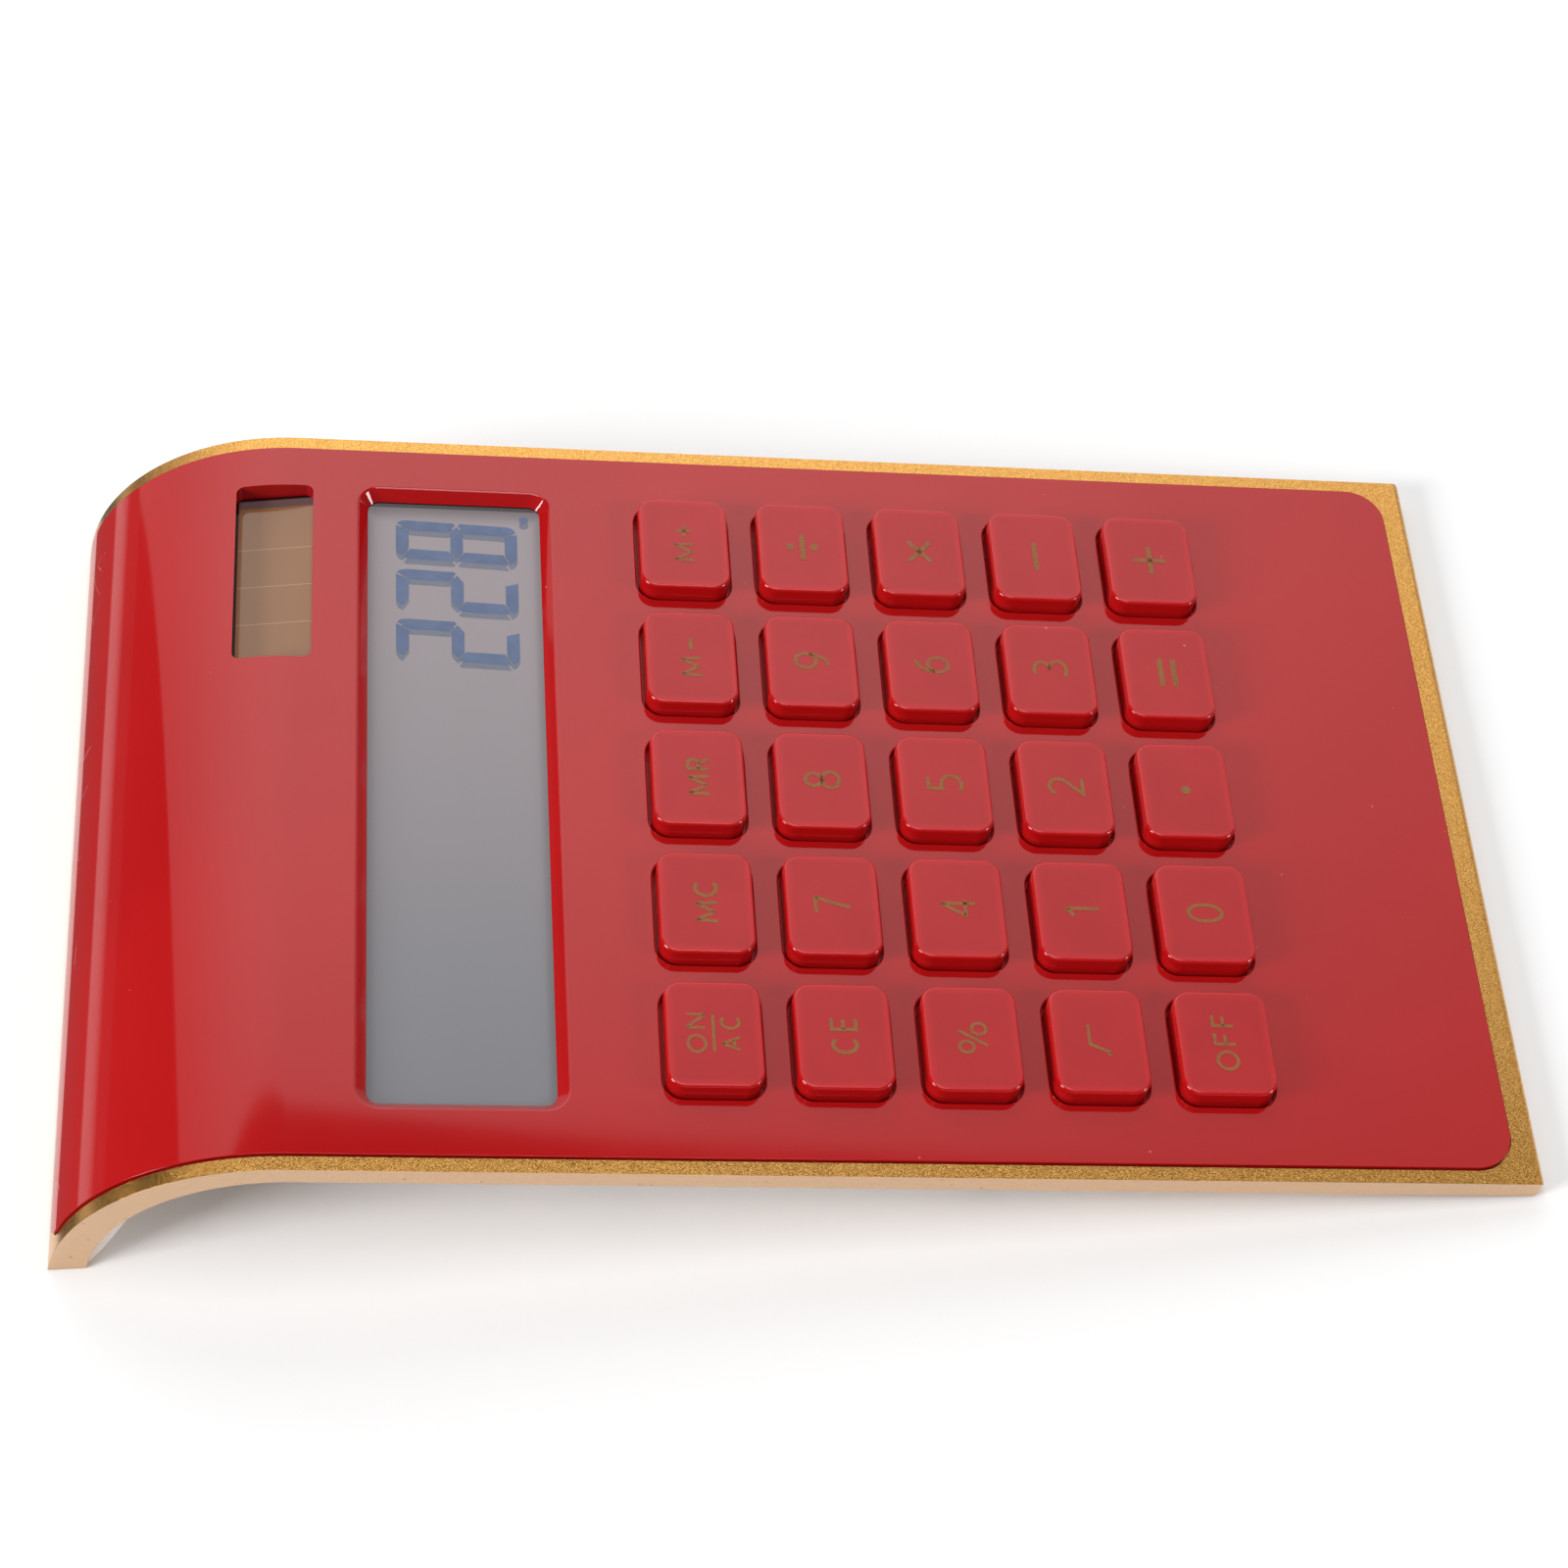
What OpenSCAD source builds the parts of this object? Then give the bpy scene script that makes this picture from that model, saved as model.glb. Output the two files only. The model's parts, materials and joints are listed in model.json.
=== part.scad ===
// Desk calculator: a red face in a gold frame, bent down into a foot at the display end.
// Millimetres, +Z up. The part stands on its foot and two pads; the origin is on the
// table under the middle of the part, and +Y points to the display end.
//
// The modules are drawn in the face's own frame, with y = 0 on the top key row and
// z = 0 on the red face. stand() tips that frame and sets it on the table.

/* [Body] */
// Width over the gold frame.
body_w = 100; // [98:0.5:106]
// From the top key row to the user end.
front_reach = 91.5; // [91:0.5:96]
// Outside radius of the red face at the bend.
bend_r = 25.3; // [25.3:0.1:26]
// Depth of the foot below the red face.
foot_drop = 22.9; // [22.5:0.1:23.5]
// Depth of the gold edge below the red face.
edge_drop = 2.9; // [2.8:0.1:2.9]
// Slope of the red face when the part stands, in degrees.
tilt = 7; // [6.9:0.1:7.1]

/* [Face panel] */
// Width of the red face.
panel_w = 96.4; // [96:0.1:96.4]
// Thickness of the red face.
panel_t = 1.3; // [1.2:0.1:1.3]
// Corner radius of the red face at the user end.
panel_corner = 4.4; // [2:0.2:6]
// How far the red face stands above the gold rim.
panel_proud = 0.3; // [0.1:0.1:0.5]

/* [Display] */
// Width of the display recess at the face.
display_w = 85; // [80:0.5:85]
// Height of the display recess at the face.
display_h = 22.8; // [20:0.2:22.8]
// Run of the recess's sloping wall.
display_bevel = 1.2; // [0.6:0.1:1.4]
// Width of the solar window.
solar_w = 25.5; // [20:0.5:25.5]
// Height of the solar window.
solar_h = 9; // [6:0.5:9]
// Degrees that the solar cell leans down toward the bend.
solar_lean = 10; // [0:1:12]

/* [Keys] */
// Distance between key columns.
pitch_x = 17; // [16:0.1:17]
// Distance between key rows.
pitch_y = 14.2; // [13.4:0.1:14.2]
// Width of a key at the face.
key_w = 13.3; // [12:0.1:13.3]
// Length of a key at the face.
key_l = 10.6; // [9:0.1:10.6]
// Height of a key above the face.
key_rise = 2.2; // [1.6:0.1:2.6]
// How far a key goes down.
key_travel = 0.9; // [0.5:0.1:0.9]

/* [Hidden] */
smooth = 96;
fine = 48;
steps = 30;
eps = 0.01;

// Bend: all arcs of the face and the frame share this centre.
bend_y = 45.5;
bend_z = -bend_r;
frame_r = bend_r - panel_proud;
bay_r = bend_r - 2.4;
// The frame's concave underside has a centre of its own, so the leg thickens downwards.
under_y = 44.6;
under_z = -24.7;
under_r = -edge_drop - under_z;

// Height of the part's frame over the table.
foot_y = bend_y + sqrt(pow(frame_r, 2) - pow(bend_r - foot_drop, 2));
end_mid = -1.2;
end_round = 1.6;
function level(y, z) = y * sin(tilt) + z * cos(tilt);
function forward(y, z) = y * cos(tilt) - z * sin(tilt);
lift = -level(foot_y, -foot_drop);
shift = -(forward(foot_y, -foot_drop) + forward(-front_reach, end_mid)) / 2;

// Face panel.
panel_front = front_reach - 3.1;
panel_end = -19.6;
end_corner = 2;

// Gold frame.
seat_gap = 0.05;
frame_corner = 0.7;
ledge_half = 46.2;
opening_front = front_reach - 6;
web_y = 56;
bay_end = panel_end - 0.1;
// Under the bay the cover stops in front of the frame's foot.
cover_back = 65.7;

// Display.
display_y = 27;
display_corner = 2.6;
solar_x = 29.65;
solar_y = 48.2;
solar_z = -2.6;
collar = 1.2;

// Keys.
columns = 5;
rows = 5;
key_gap = 0.3;
key_corner = 2;
flange = 0.6;
flange_top = -1.4;
flange_t = 0.5;

// Stack under the keys, downwards.
mat_top = -3.1;
board_top = -3.4;
board_bottom = -4.2;
board_half = 41;
board_front = -65.5;
board_back = 10.5;
post_x = 1.5 * pitch_x;
post_rows = [0.5, 3.5];

// Case screws.
screw_x = 44.2;
screw_ys = [-70, -31, 9];
seat_z = -3.9;

// Battery hump.
hump_x = -15;
hump_y = 27;
hump_w = 24;
hump_l = 22;
hump_z = -9.6;
door_w = 19;
door_l = 17;
door_t = 1.2;
cell_r = 5.8;
cell_t = 3.1;
cell_y = 25.4;

function column_x(c) = (c - (columns - 1) / 2) * pitch_x;
function row_y(r) = -r * pitch_y;

// Tips the face's frame by the tilt and stands it on the table.
module stand() {
  translate([0, shift, lift]) rotate([tilt, 0, 0]) children();
}

// Draws a side view (y to the right, z up) across the width w.
module across(w) {
  rotate([90, 0, 90]) linear_extrude(height = w, center = true) children();
}

// A rounded rectangle centred on the origin.
module rounded(w, l, r) {
  union() {
    square([w - 2 * r, l], center = true);
    square([w, l - 2 * r], center = true);
    for (x = [-1, 1])
      for (y = [-1, 1])
        translate([x * (w / 2 - r), y * (l / 2 - r)]) circle(r = r, $fn = fine);
  }
}

// A straight block with the plan of a rounded rectangle, from z0 up to z1.
module block(w, l, r, z0, z1) {
  translate([0, 0, z0]) linear_extrude(height = z1 - z0) rounded(w, l, r);
}

// Points of an arc, with angles from +Y towards +Z.
function arc(cy, cz, r, a0, a1, n) =
  [for (i = [0 : n]) let (a = a0 + (a1 - a0) * i / n) [cy + r * cos(a), cz + r * sin(a)]];

// Points about the bend's centre, from the top of the bend down to the height end_z.
function bend_arc(r, end_z) = arc(bend_y, bend_z, r, 90, asin((end_z - bend_z) / r), steps);

function backwards(p) = [for (i = [len(p) - 1 : -1 : 0]) p[i]];

// Side view of a skin that follows the face, between two depths below it.
module skin(front, top, bottom, end_z) {
  polygon(concat(
    [[-front, -bottom], [-front, -top]],
    bend_arc(bend_r - top, end_z),
    backwards(bend_arc(bend_r - bottom, end_z))
  ));
}

// Side view of everything on or above the table.
module above_table() {
  translate([foot_y, -foot_drop]) rotate(-tilt) translate([-300, 0]) square([400, 100]);
}

// ---- face panel ----

module panel_holes() {
  for (c = [0 : columns - 1])
    for (r = [0 : rows - 1])
      translate([column_x(c), row_y(r), 0])
        block(key_w + 2 * key_gap, key_l + 2 * key_gap, key_corner + key_gap, -5, 5);
}

// The display's recess: a plan with round corners and four sloping walls.
module display_cut() {
  out = 2 * display_bevel;
  translate([0, display_y, 0])
    intersection() {
      block(display_w, display_h, display_corner, -panel_t - 1, 1);
      rotate([90, 0, 0])
        linear_extrude(height = display_h + 2, center = true)
          polygon([
            [-display_w / 2, 1], [-display_w / 2, 0],
            [-(display_w - out) / 2, -panel_t], [-(display_w - out) / 2, -panel_t - 1],
            [(display_w - out) / 2, -panel_t - 1], [(display_w - out) / 2, -panel_t],
            [display_w / 2, 0], [display_w / 2, 1],
          ]);
      across(display_w + 2)
        polygon([
          [-display_h / 2, 1], [-display_h / 2, 0],
          [-(display_h - out) / 2, -panel_t], [-(display_h - out) / 2, -panel_t - 1],
          [(display_h - out) / 2, -panel_t - 1], [(display_h - out) / 2, -panel_t],
          [display_h / 2, 0], [display_h / 2, 1],
        ]);
    }
}

// Stands the solar parts at their window, leaning with the bend.
module leaning() {
  translate([solar_x, solar_y, solar_z])
    rotate([-solar_lean, 0, 0])
      translate([0, 0, -solar_z])
        children();
}

module face_panel() {
  color([0.72, 0.05, 0.06])
    stand()
      difference() {
        union() {
          intersection() {
            across(panel_w) skin(panel_front, 0, panel_t, panel_end);
            translate([0, (100 - panel_front) / 2, -40])
              linear_extrude(height = 60)
                rounded(panel_w, 100 + panel_front, panel_corner);
            rotate([90, 0, 0])
              linear_extrude(height = 400, center = true)
                translate([0, (20 + panel_end) / 2])
                  rounded(panel_w, 20 - panel_end, end_corner);
          }
          intersection() {
            leaning()
              block(solar_w + 2 * collar, solar_h + 0.7, 1, solar_z + 0.05, -1.1);
            across(body_w) skin(0, 0.4, 6, -10);
          }
          for (x = [-post_x, post_x])
            for (r = post_rows)
              translate([x, row_y(r), board_top])
                cylinder(r = 1.5, h = -board_top - 0.5, $fn = fine);
        }
        panel_holes();
        display_cut();
        translate([solar_x, solar_y, 0]) block(solar_w, solar_h, 0.9, -8, 2);
        for (x = [-post_x, post_x])
          for (r = post_rows)
            translate([x, row_y(r), board_top - 1])
              cylinder(r = 0.8, h = 2.6, $fn = fine);
      }
}

// ---- gold frame ----

// Side view of the frame: a thin edge that turns down into the foot.
module frame_side() {
  intersection() {
    polygon(concat(
      [[-front_reach, end_mid], [-front_reach + 0.45, -panel_proud]],
      bend_arc(frame_r, -foot_drop - 1),
      backwards(arc(under_y, under_z, under_r, 90, 2, steps)),
      arc(-front_reach + end_round, -edge_drop + end_round, end_round, 270, 180, 8)
    ));
    above_table();
  }
}

module gold_frame() {
  color([0.78, 0.58, 0.27])
    stand()
      difference() {
        union() {
          difference() {
            intersection() {
              across(body_w) frame_side();
              translate([0, (100 - front_reach) / 2, -40])
                linear_extrude(height = 60)
                  rounded(body_w, 100 + front_reach, frame_corner);
            }
            // pocket for the face panel
            intersection() {
              across(panel_w + 0.2)
                skin(panel_front + 0.1, -3, panel_t + seat_gap, bay_end);
              translate([0, (100 - panel_front) / 2, -40])
                linear_extrude(height = 60)
                  rounded(panel_w + 0.2, 100 + panel_front + 0.2, panel_corner + 0.1);
            }
            // opening for the keys and the display
            translate([-ledge_half, -opening_front, -30])
              cube([2 * ledge_half, opening_front + web_y, 40]);
            // bay behind the web, for the back cover's lining
            across(panel_w)
              polygon(concat(bend_arc(bay_r, bay_end), [[bend_y, bay_end]]));
          }
          for (x = [-1, 1])
            for (y = screw_ys)
              intersection() {
                translate([x * screw_x, y, -3]) cylinder(r = 2.3, h = 1.6, $fn = fine);
                cube([2 * ledge_half + 1, 400, 20], center = true);
              }
        }
        for (x = [-screw_x, screw_x])
          for (y = screw_ys)
            translate([x, y, -4]) cylinder(r = 0.9, h = 2.4, $fn = fine);
      }
}

// ---- back cover ----

// Side view of the room that the frame leaves for the cover.
module cover_room() {
  polygon(concat(
    [[-front_reach, -40], [-front_reach, -edge_drop - seat_gap],
     [bend_y, -edge_drop - seat_gap]],
    bend_arc(bay_r - seat_gap, bay_end + seat_gap),
    [[cover_back, bay_end + seat_gap], [cover_back, -40]]
  ));
}

// Side view of the tray under the keys and the display.
module tray_side() {
  intersection() {
    cover_room();
    polygon([
      [-front_reach + 5, 0], [-front_reach + 5, -3], [-66, -5.6], [-38, -7.2], [50, -7.4],
      [56.5, -8.6], [61.5, -12], [66, -22], [80, -22], [80, 0],
    ]);
  }
}

module tray_hollow() {
  intersection() {
    cover_room();
    polygon([
      [-75.5, 0], [-75.5, -2.9], [-66, -4.45], [-38, -6], [49.6, -6.2], [56, -7.4],
      [58.5, -9.4], [58.5, 0],
    ]);
  }
}

// Side view of the lining that swells out behind the frame's cheeks.
module lining_side() {
  intersection() {
    polygon(concat(
      arc(under_y, under_z, under_r - seat_gap, 90, 0, steps),
      [[under_y, under_z]]
    ));
    polygon([
      [58.6, -8.2], [60.3, -10.4], [61.9, -12.5], [63.2, -15.8], [64.6, -19.2],
      [65.5, -21.2], [65.9, -22], [80, -22], [80, 0], [58.6, 0],
    ]);
  }
}

module back_cover() {
  color([0.90, 0.84, 0.78])
    stand()
      difference() {
        union() {
          difference() {
            union() {
              translate([0, (100 - front_reach + 5) / 2, -30])
                intersection() {
                  linear_extrude(height = 60)
                    rounded(2 * ledge_half + 1.4, 100 + front_reach - 5, 3);
                  translate([0, -(100 - front_reach + 5) / 2, 30])
                    across(2 * ledge_half + 1.4) tray_side();
                }
              across(panel_w - 0.3)
                intersection() {
                  tray_side();
                  translate([56, -30]) square([30, 40]);
                }
            }
            across(2 * ledge_half - 1) tray_hollow();
          }
          across(body_w - 1.2) lining_side();
          for (x = [-1, 1])
            for (y = screw_ys)
              intersection() {
                translate([x * screw_x, y, -9]) cylinder(r = 3, h = 5.9, $fn = fine);
                across(2 * ledge_half + 1.2) tray_side();
              }
          translate([hump_x, hump_y, 0]) block(hump_w, hump_l, 2, hump_z, -6.5);
        }
        for (x = [-screw_x, screw_x])
          for (y = screw_ys) {
            translate([x, y, -12]) cylinder(r = 2.1, h = 12 + seat_z, $fn = fine);
            translate([x, y, -8]) cylinder(r = 1.2, h = 6, $fn = fine);
          }
        for (x = [-36, 36])
          translate([x, -80, -8]) cylinder(r = 4.1, h = 4.6, $fn = fine);
        difference() {
          translate([hump_x, hump_y, 0])
            block(hump_w - 2.4, hump_l - 2.4, 1, hump_z + door_t, -5.5);
          translate([hump_x - 4, hump_y + 6, hump_z]) cube([8, 6, 3]);
        }
        translate([hump_x, hump_y, 0]) block(door_w, door_l, 1.5, hump_z - 1, hump_z + door_t);
        translate([hump_x, hump_y + 7, hump_z]) cylinder(r = 0.75, h = 2.6, $fn = fine);
      }
}

module battery_door() {
  color([0.86, 0.80, 0.74])
    stand()
      difference() {
        translate([hump_x, hump_y, 0])
          union() {
            block(door_w - 0.2, door_l - 0.2, 1.4, hump_z, hump_z + door_t - 0.05);
            for (x = [-5, 5])
              translate([x - 1.5, -door_l / 2, hump_z]) {
                translate([0, -1.1, 1.27]) cube([3, 2.4, 0.7]);
                translate([0, 0.2, 1.1]) cube([3, 1.1, 0.87]);
              }
          }
        translate([hump_x, hump_y + 7, hump_z - 1]) cylinder(r = 0.95, h = 4, $fn = fine);
        translate([hump_x, hump_y + 7, hump_z - 1]) cylinder(r = 1.6, h = 1.6, $fn = fine);
      }
}

// A small cross-head screw that points up, with its seat at z = 0.
module screw(r, length, head_r, head_t) {
  difference() {
    union() {
      translate([0, 0, -head_t]) cylinder(r = head_r, h = head_t, $fn = fine);
      cylinder(r = r, h = length, $fn = fine);
    }
    for (a = [0, 90])
      rotate(a) translate([-head_r * 0.6, -0.2, -head_t - 0.1]) cube([head_r * 1.2, 0.4, 0.5]);
  }
}

module door_screw() {
  color([0.75, 0.75, 0.77])
    stand()
      translate([hump_x, hump_y + 7, hump_z + 0.6]) screw(0.7, 1.9, 1.5, 0.55);
}

module case_screws() {
  color([0.75, 0.75, 0.77])
    stand()
      for (x = [-screw_x, screw_x])
        for (y = screw_ys)
          translate([x, y, seat_z]) screw(0.85, 2.2, 1.9, 0.9);
}

module rubber_feet() {
  color([0.15, 0.15, 0.16])
    stand()
      intersection() {
        for (x = [-36, 36])
          translate([x, -80, -8]) cylinder(r = 4, h = 4.6 - seat_gap, $fn = fine);
        across(body_w) above_table();
      }
}

// ---- keys ----

// One key: a block with a softly chamfered top and a flange that stops it under the face.
module key(c, r) {
  edge = 0.35;
  color([0.78, 0.06, 0.07])
    stand()
      translate([column_x(c), row_y(r), 0])
        union() {
          intersection() {
            block(key_w, key_l, key_corner, flange_top - flange_t, key_rise);
            rotate([90, 0, 0])
              linear_extrude(height = key_l + 2, center = true)
                polygon([
                  [-key_w / 2, -3], [-key_w / 2, key_rise - edge],
                  [-key_w / 2 + edge, key_rise], [key_w / 2 - edge, key_rise],
                  [key_w / 2, key_rise - edge], [key_w / 2, -3],
                ]);
            across(key_w + 2)
              polygon([
                [-key_l / 2, -3], [-key_l / 2, key_rise - edge],
                [-key_l / 2 + edge, key_rise], [key_l / 2 - edge, key_rise],
                [key_l / 2, key_rise - edge], [key_l / 2, -3],
              ]);
          }
          block(key_w + 2 * flange, key_l + 2 * flange, key_corner + flange,
                flange_top - flange_t, flange_top);
        }
}

// ---- inside ----

module key_mat() {
  color([0.80, 0.82, 0.84])
    stand()
      difference() {
        union() {
          translate([0, (board_front + 8) / 2, 0])
            block(2 * board_half, 8 - board_front, 2, board_top, mat_top);
          for (c = [0 : columns - 1])
            for (r = [0 : rows - 1])
              translate([column_x(c), row_y(r), mat_top - eps])
                cylinder(r1 = 4, r2 = 3, h = 1.16, $fn = fine);
        }
        for (c = [0 : columns - 1])
          for (r = [0 : rows - 1])
            translate([column_x(c), row_y(r), board_top - eps])
              cylinder(r1 = 3.4, r2 = 2.4, h = 1.1, $fn = fine);
        for (x = [-post_x, post_x])
          for (r = post_rows)
            translate([x, row_y(r), -5]) cylinder(r = 1.8, h = 4, $fn = fine);
      }
}

// Two half-moon carbon pads under every dome.
module key_pads() {
  color([0.12, 0.12, 0.13])
    stand()
      for (c = [0 : columns - 1])
        for (r = [0 : rows - 1])
          translate([column_x(c), row_y(r), board_top])
            difference() {
              cylinder(r = 2.6, h = 0.05, $fn = fine);
              translate([-0.25, -3, -1]) cube([0.5, 6, 3]);
            }
}

module circuit_board() {
  color([0.10, 0.35, 0.18])
    stand()
      difference() {
        translate([0, (board_front + board_back) / 2, 0])
          block(2 * board_half, board_back - board_front, 1.5, board_bottom, board_top - eps);
        for (x = [-post_x, post_x])
          for (r = post_rows)
            translate([x, row_y(r), -6]) cylinder(r = 0.9, h = 4, $fn = fine);
      }
}

module board_screws() {
  color([0.75, 0.75, 0.77])
    stand()
      for (x = [-post_x, post_x])
        for (r = post_rows)
          translate([x, row_y(r), board_bottom]) screw(0.75, 2.2, 1.4, 0.6);
}

module chip_blob() {
  color([0.08, 0.08, 0.09])
    stand()
      intersection() {
        translate([6, -24, board_bottom + 8.2]) sphere(r = 9.4, $fn = smooth);
        translate([0, -30, board_bottom - 3]) cube([20, 20, 3]);
      }
}

module chip_capacitors() {
  color([0.72, 0.60, 0.42])
    stand()
      for (x = [-12, -6, 20])
        translate([x, -4, board_bottom - 0.5]) cube([2, 1.25, 1], center = true);
}

module chip_resistors() {
  color([0.16, 0.16, 0.17])
    stand()
      for (x = [-16 : 4 : 0])
        translate([x, -12, board_bottom - 0.275]) cube([1.6, 0.8, 0.55], center = true);
}

module zener_diode() {
  color([0.85, 0.45, 0.25])
    stand()
      translate([26, 2, board_bottom - 0.65])
        rotate([0, 90, 0]) cylinder(r = 0.65, h = 3.4, center = true, $fn = fine);
}

// A flat plate of the display stack, in x centred and from y0 to y1.
module plate(w, y0, y1, z0, z1, r = 0.5) {
  translate([0, (y0 + y1) / 2, 0]) block(w, y1 - y0, r, z0, z1);
}

module lcd_polariser() {
  color([0.58, 0.56, 0.58]) stand() plate(84.4, 16, 38, -1.6, -1.4);
}

module lcd_front_glass() {
  color([0.70, 0.74, 0.74, 0.6]) stand() plate(86, 13.4, 40, -2.7, -1.61);
}

module lcd_rear_glass() {
  color([0.66, 0.70, 0.70, 0.6]) stand() plate(86, 16.6, 40, -3.8, -2.71);
}

module lcd_reflector() {
  color([0.62, 0.60, 0.60]) stand() plate(84.4, 17, 39.4, -4, -3.81);
}

module lcd_holder() {
  color([0.92, 0.92, 0.90])
    stand()
      difference() {
        plate(89, 12, 41.6, -4.9, -1.36, 1);
        plate(86.2, 13.2, 40.2, -4.1, 0, 0.6);
        plate(82, 17.6, 38.6, -8, 0, 0.6);
        plate(62, 8, 17, -8, -2.72, 0.4);
      }
}

module lcd_flex() {
  color([0.80, 0.62, 0.30])
    stand()
      across(60)
        polygon([
          [16.4, -2.71], [16.4, -2.86], [13.2, -2.9], [10.9, -3.4],
          [8.3, -3.40], [8.3, -3.25], [11, -3.24], [13.3, -2.74],
        ]);
}

module solar_cell() {
  color([0.45, 0.30, 0.22])
    stand()
      leaning() block(27.6, 9.6, 0.3, solar_z - 1.1, solar_z);
}

module solar_pad() {
  color([0.20, 0.20, 0.21])
    stand()
      difference() {
        translate([solar_x, solar_y, 0]) block(15, 6, 0.5, -6.1, -2.7);
        leaning() block(30, 14, 0.3, solar_z - 1.12, 4);
      }
}

module button_cell() {
  color([0.80, 0.80, 0.80])
    stand()
      translate([hump_x, cell_y, hump_z + door_t + 0.1])
        union() {
          cylinder(r = cell_r, h = cell_t - 0.3, $fn = smooth);
          cylinder(r = cell_r - 1.2, h = cell_t, $fn = smooth);
        }
}

cell_top = hump_z + door_t + 0.1 + cell_t;

// A strip that leans on the cell's side and folds over at the top.
module contact_positive() {
  color([0.80, 0.68, 0.40])
    stand()
      translate([hump_x + cell_r + 0.1, cell_y - 2, 0])
        rotate([90, 0, 0])
          mirror([0, 0, 1])
            linear_extrude(height = 4)
              polygon([
                [0, -7.8], [0, -4.75], [4.2, -4.75], [4.2, -5], [0.25, -5], [0.25, -7.8],
              ]);
}

// A leaf that presses on the cell's cap.
module contact_negative() {
  color([0.80, 0.68, 0.40])
    stand()
      translate([hump_x, cell_y - 2, 0])
        rotate([90, 0, 0])
          mirror([0, 0, 1])
            linear_extrude(height = 4)
              polygon([
                [2, cell_top + 0.02], [2, cell_top + 0.27], [-5, -4.75], [-9.6, -4.75],
                [-9.6, -5], [-5.1, -5],
              ]);
}

// A wire along straight runs.
module wire(points, r = 0.35) {
  for (i = [0 : len(points) - 2])
    hull()
      for (p = [points[i], points[i + 1]])
        translate(p) sphere(r = r, $fn = 8);
}

module wires_positive() {
  color([0.75, 0.10, 0.10])
    stand() {
      wire([[18.5, 46, -3.8], [18.5, 43.6, -5.3], [22, 14, -5.3], [22, 9, -4.56]]);
      wire([[-5.5, 24, -5.36], [-4, 14, -5.3], [-4, 9, -4.56]]);
    }
}

module wires_negative() {
  color([0.12, 0.12, 0.13])
    stand() {
      wire([[41, 46, -3.8], [41, 43.6, -5.3], [29, 14, -5.3], [29, 9, -4.56]]);
      wire([[-24, 24, -5.36], [-26, 14, -5.3], [-26, 9, -4.56]]);
    }
}

// ---- output ----

face_panel();
gold_frame();
back_cover();
battery_door();
door_screw();
case_screws();
rubber_feet();
key(0, 0);  // key_on_ac
key(1, 0);  // key_mc
key(2, 0);  // key_mr
key(3, 0);  // key_m_minus
key(4, 0);  // key_m_plus
key(0, 1);  // key_ce
key(1, 1);  // key_7
key(2, 1);  // key_8
key(3, 1);  // key_9
key(4, 1);  // key_divide
key(0, 2);  // key_percent
key(1, 2);  // key_4
key(2, 2);  // key_5
key(3, 2);  // key_6
key(4, 2);  // key_multiply
key(0, 3);  // key_root
key(1, 3);  // key_1
key(2, 3);  // key_2
key(3, 3);  // key_3
key(4, 3);  // key_minus
key(0, 4);  // key_off
key(1, 4);  // key_0
key(2, 4);  // key_point
key(3, 4);  // key_equals
key(4, 4);  // key_plus
key_mat();
key_pads();
circuit_board();
board_screws();
chip_blob();
chip_capacitors();
chip_resistors();
zener_diode();
lcd_polariser();
lcd_front_glass();
lcd_rear_glass();
lcd_reflector();
lcd_holder();
lcd_flex();
solar_cell();
solar_pad();
button_cell();
contact_positive();
contact_negative();
wires_positive();
wires_negative();
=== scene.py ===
"""Desk calculator: the shell, keys, display and solar window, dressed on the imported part."""

import json
import logging
import math
from contextlib import contextmanager
from dataclasses import dataclass, field, replace
from enum import Enum
from typing import Any, Callable, Iterator, Sequence

import bmesh
import bpy
from mathutils import Matrix, Vector

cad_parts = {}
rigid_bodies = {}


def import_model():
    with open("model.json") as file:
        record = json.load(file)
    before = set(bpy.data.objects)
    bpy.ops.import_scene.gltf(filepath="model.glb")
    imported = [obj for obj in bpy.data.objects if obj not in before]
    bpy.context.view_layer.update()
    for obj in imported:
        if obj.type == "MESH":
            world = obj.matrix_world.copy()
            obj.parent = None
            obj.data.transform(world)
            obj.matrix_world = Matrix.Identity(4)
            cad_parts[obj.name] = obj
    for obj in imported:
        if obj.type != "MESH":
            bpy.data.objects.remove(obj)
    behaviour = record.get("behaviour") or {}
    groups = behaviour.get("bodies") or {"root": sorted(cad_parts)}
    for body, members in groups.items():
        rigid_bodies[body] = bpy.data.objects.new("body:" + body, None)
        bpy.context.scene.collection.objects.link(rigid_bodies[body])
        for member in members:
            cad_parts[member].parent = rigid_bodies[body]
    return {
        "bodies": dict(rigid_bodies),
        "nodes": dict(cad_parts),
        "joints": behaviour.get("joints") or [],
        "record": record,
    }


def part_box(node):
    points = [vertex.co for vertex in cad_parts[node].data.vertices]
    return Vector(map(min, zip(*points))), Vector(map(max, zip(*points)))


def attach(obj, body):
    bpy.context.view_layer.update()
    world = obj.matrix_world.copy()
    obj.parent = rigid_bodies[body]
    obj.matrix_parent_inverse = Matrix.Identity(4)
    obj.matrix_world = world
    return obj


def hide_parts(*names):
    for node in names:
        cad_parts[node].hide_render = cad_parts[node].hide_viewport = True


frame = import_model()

LOG = logging.getLogger("calculator")
MM = 0.001

Point = tuple[float, float, float]
Colour = tuple[float, float, float]
Test = Callable[[Vector, Vector], bool]
Socket = bpy.types.NodeSocket


# ---- where things are ----


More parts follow.
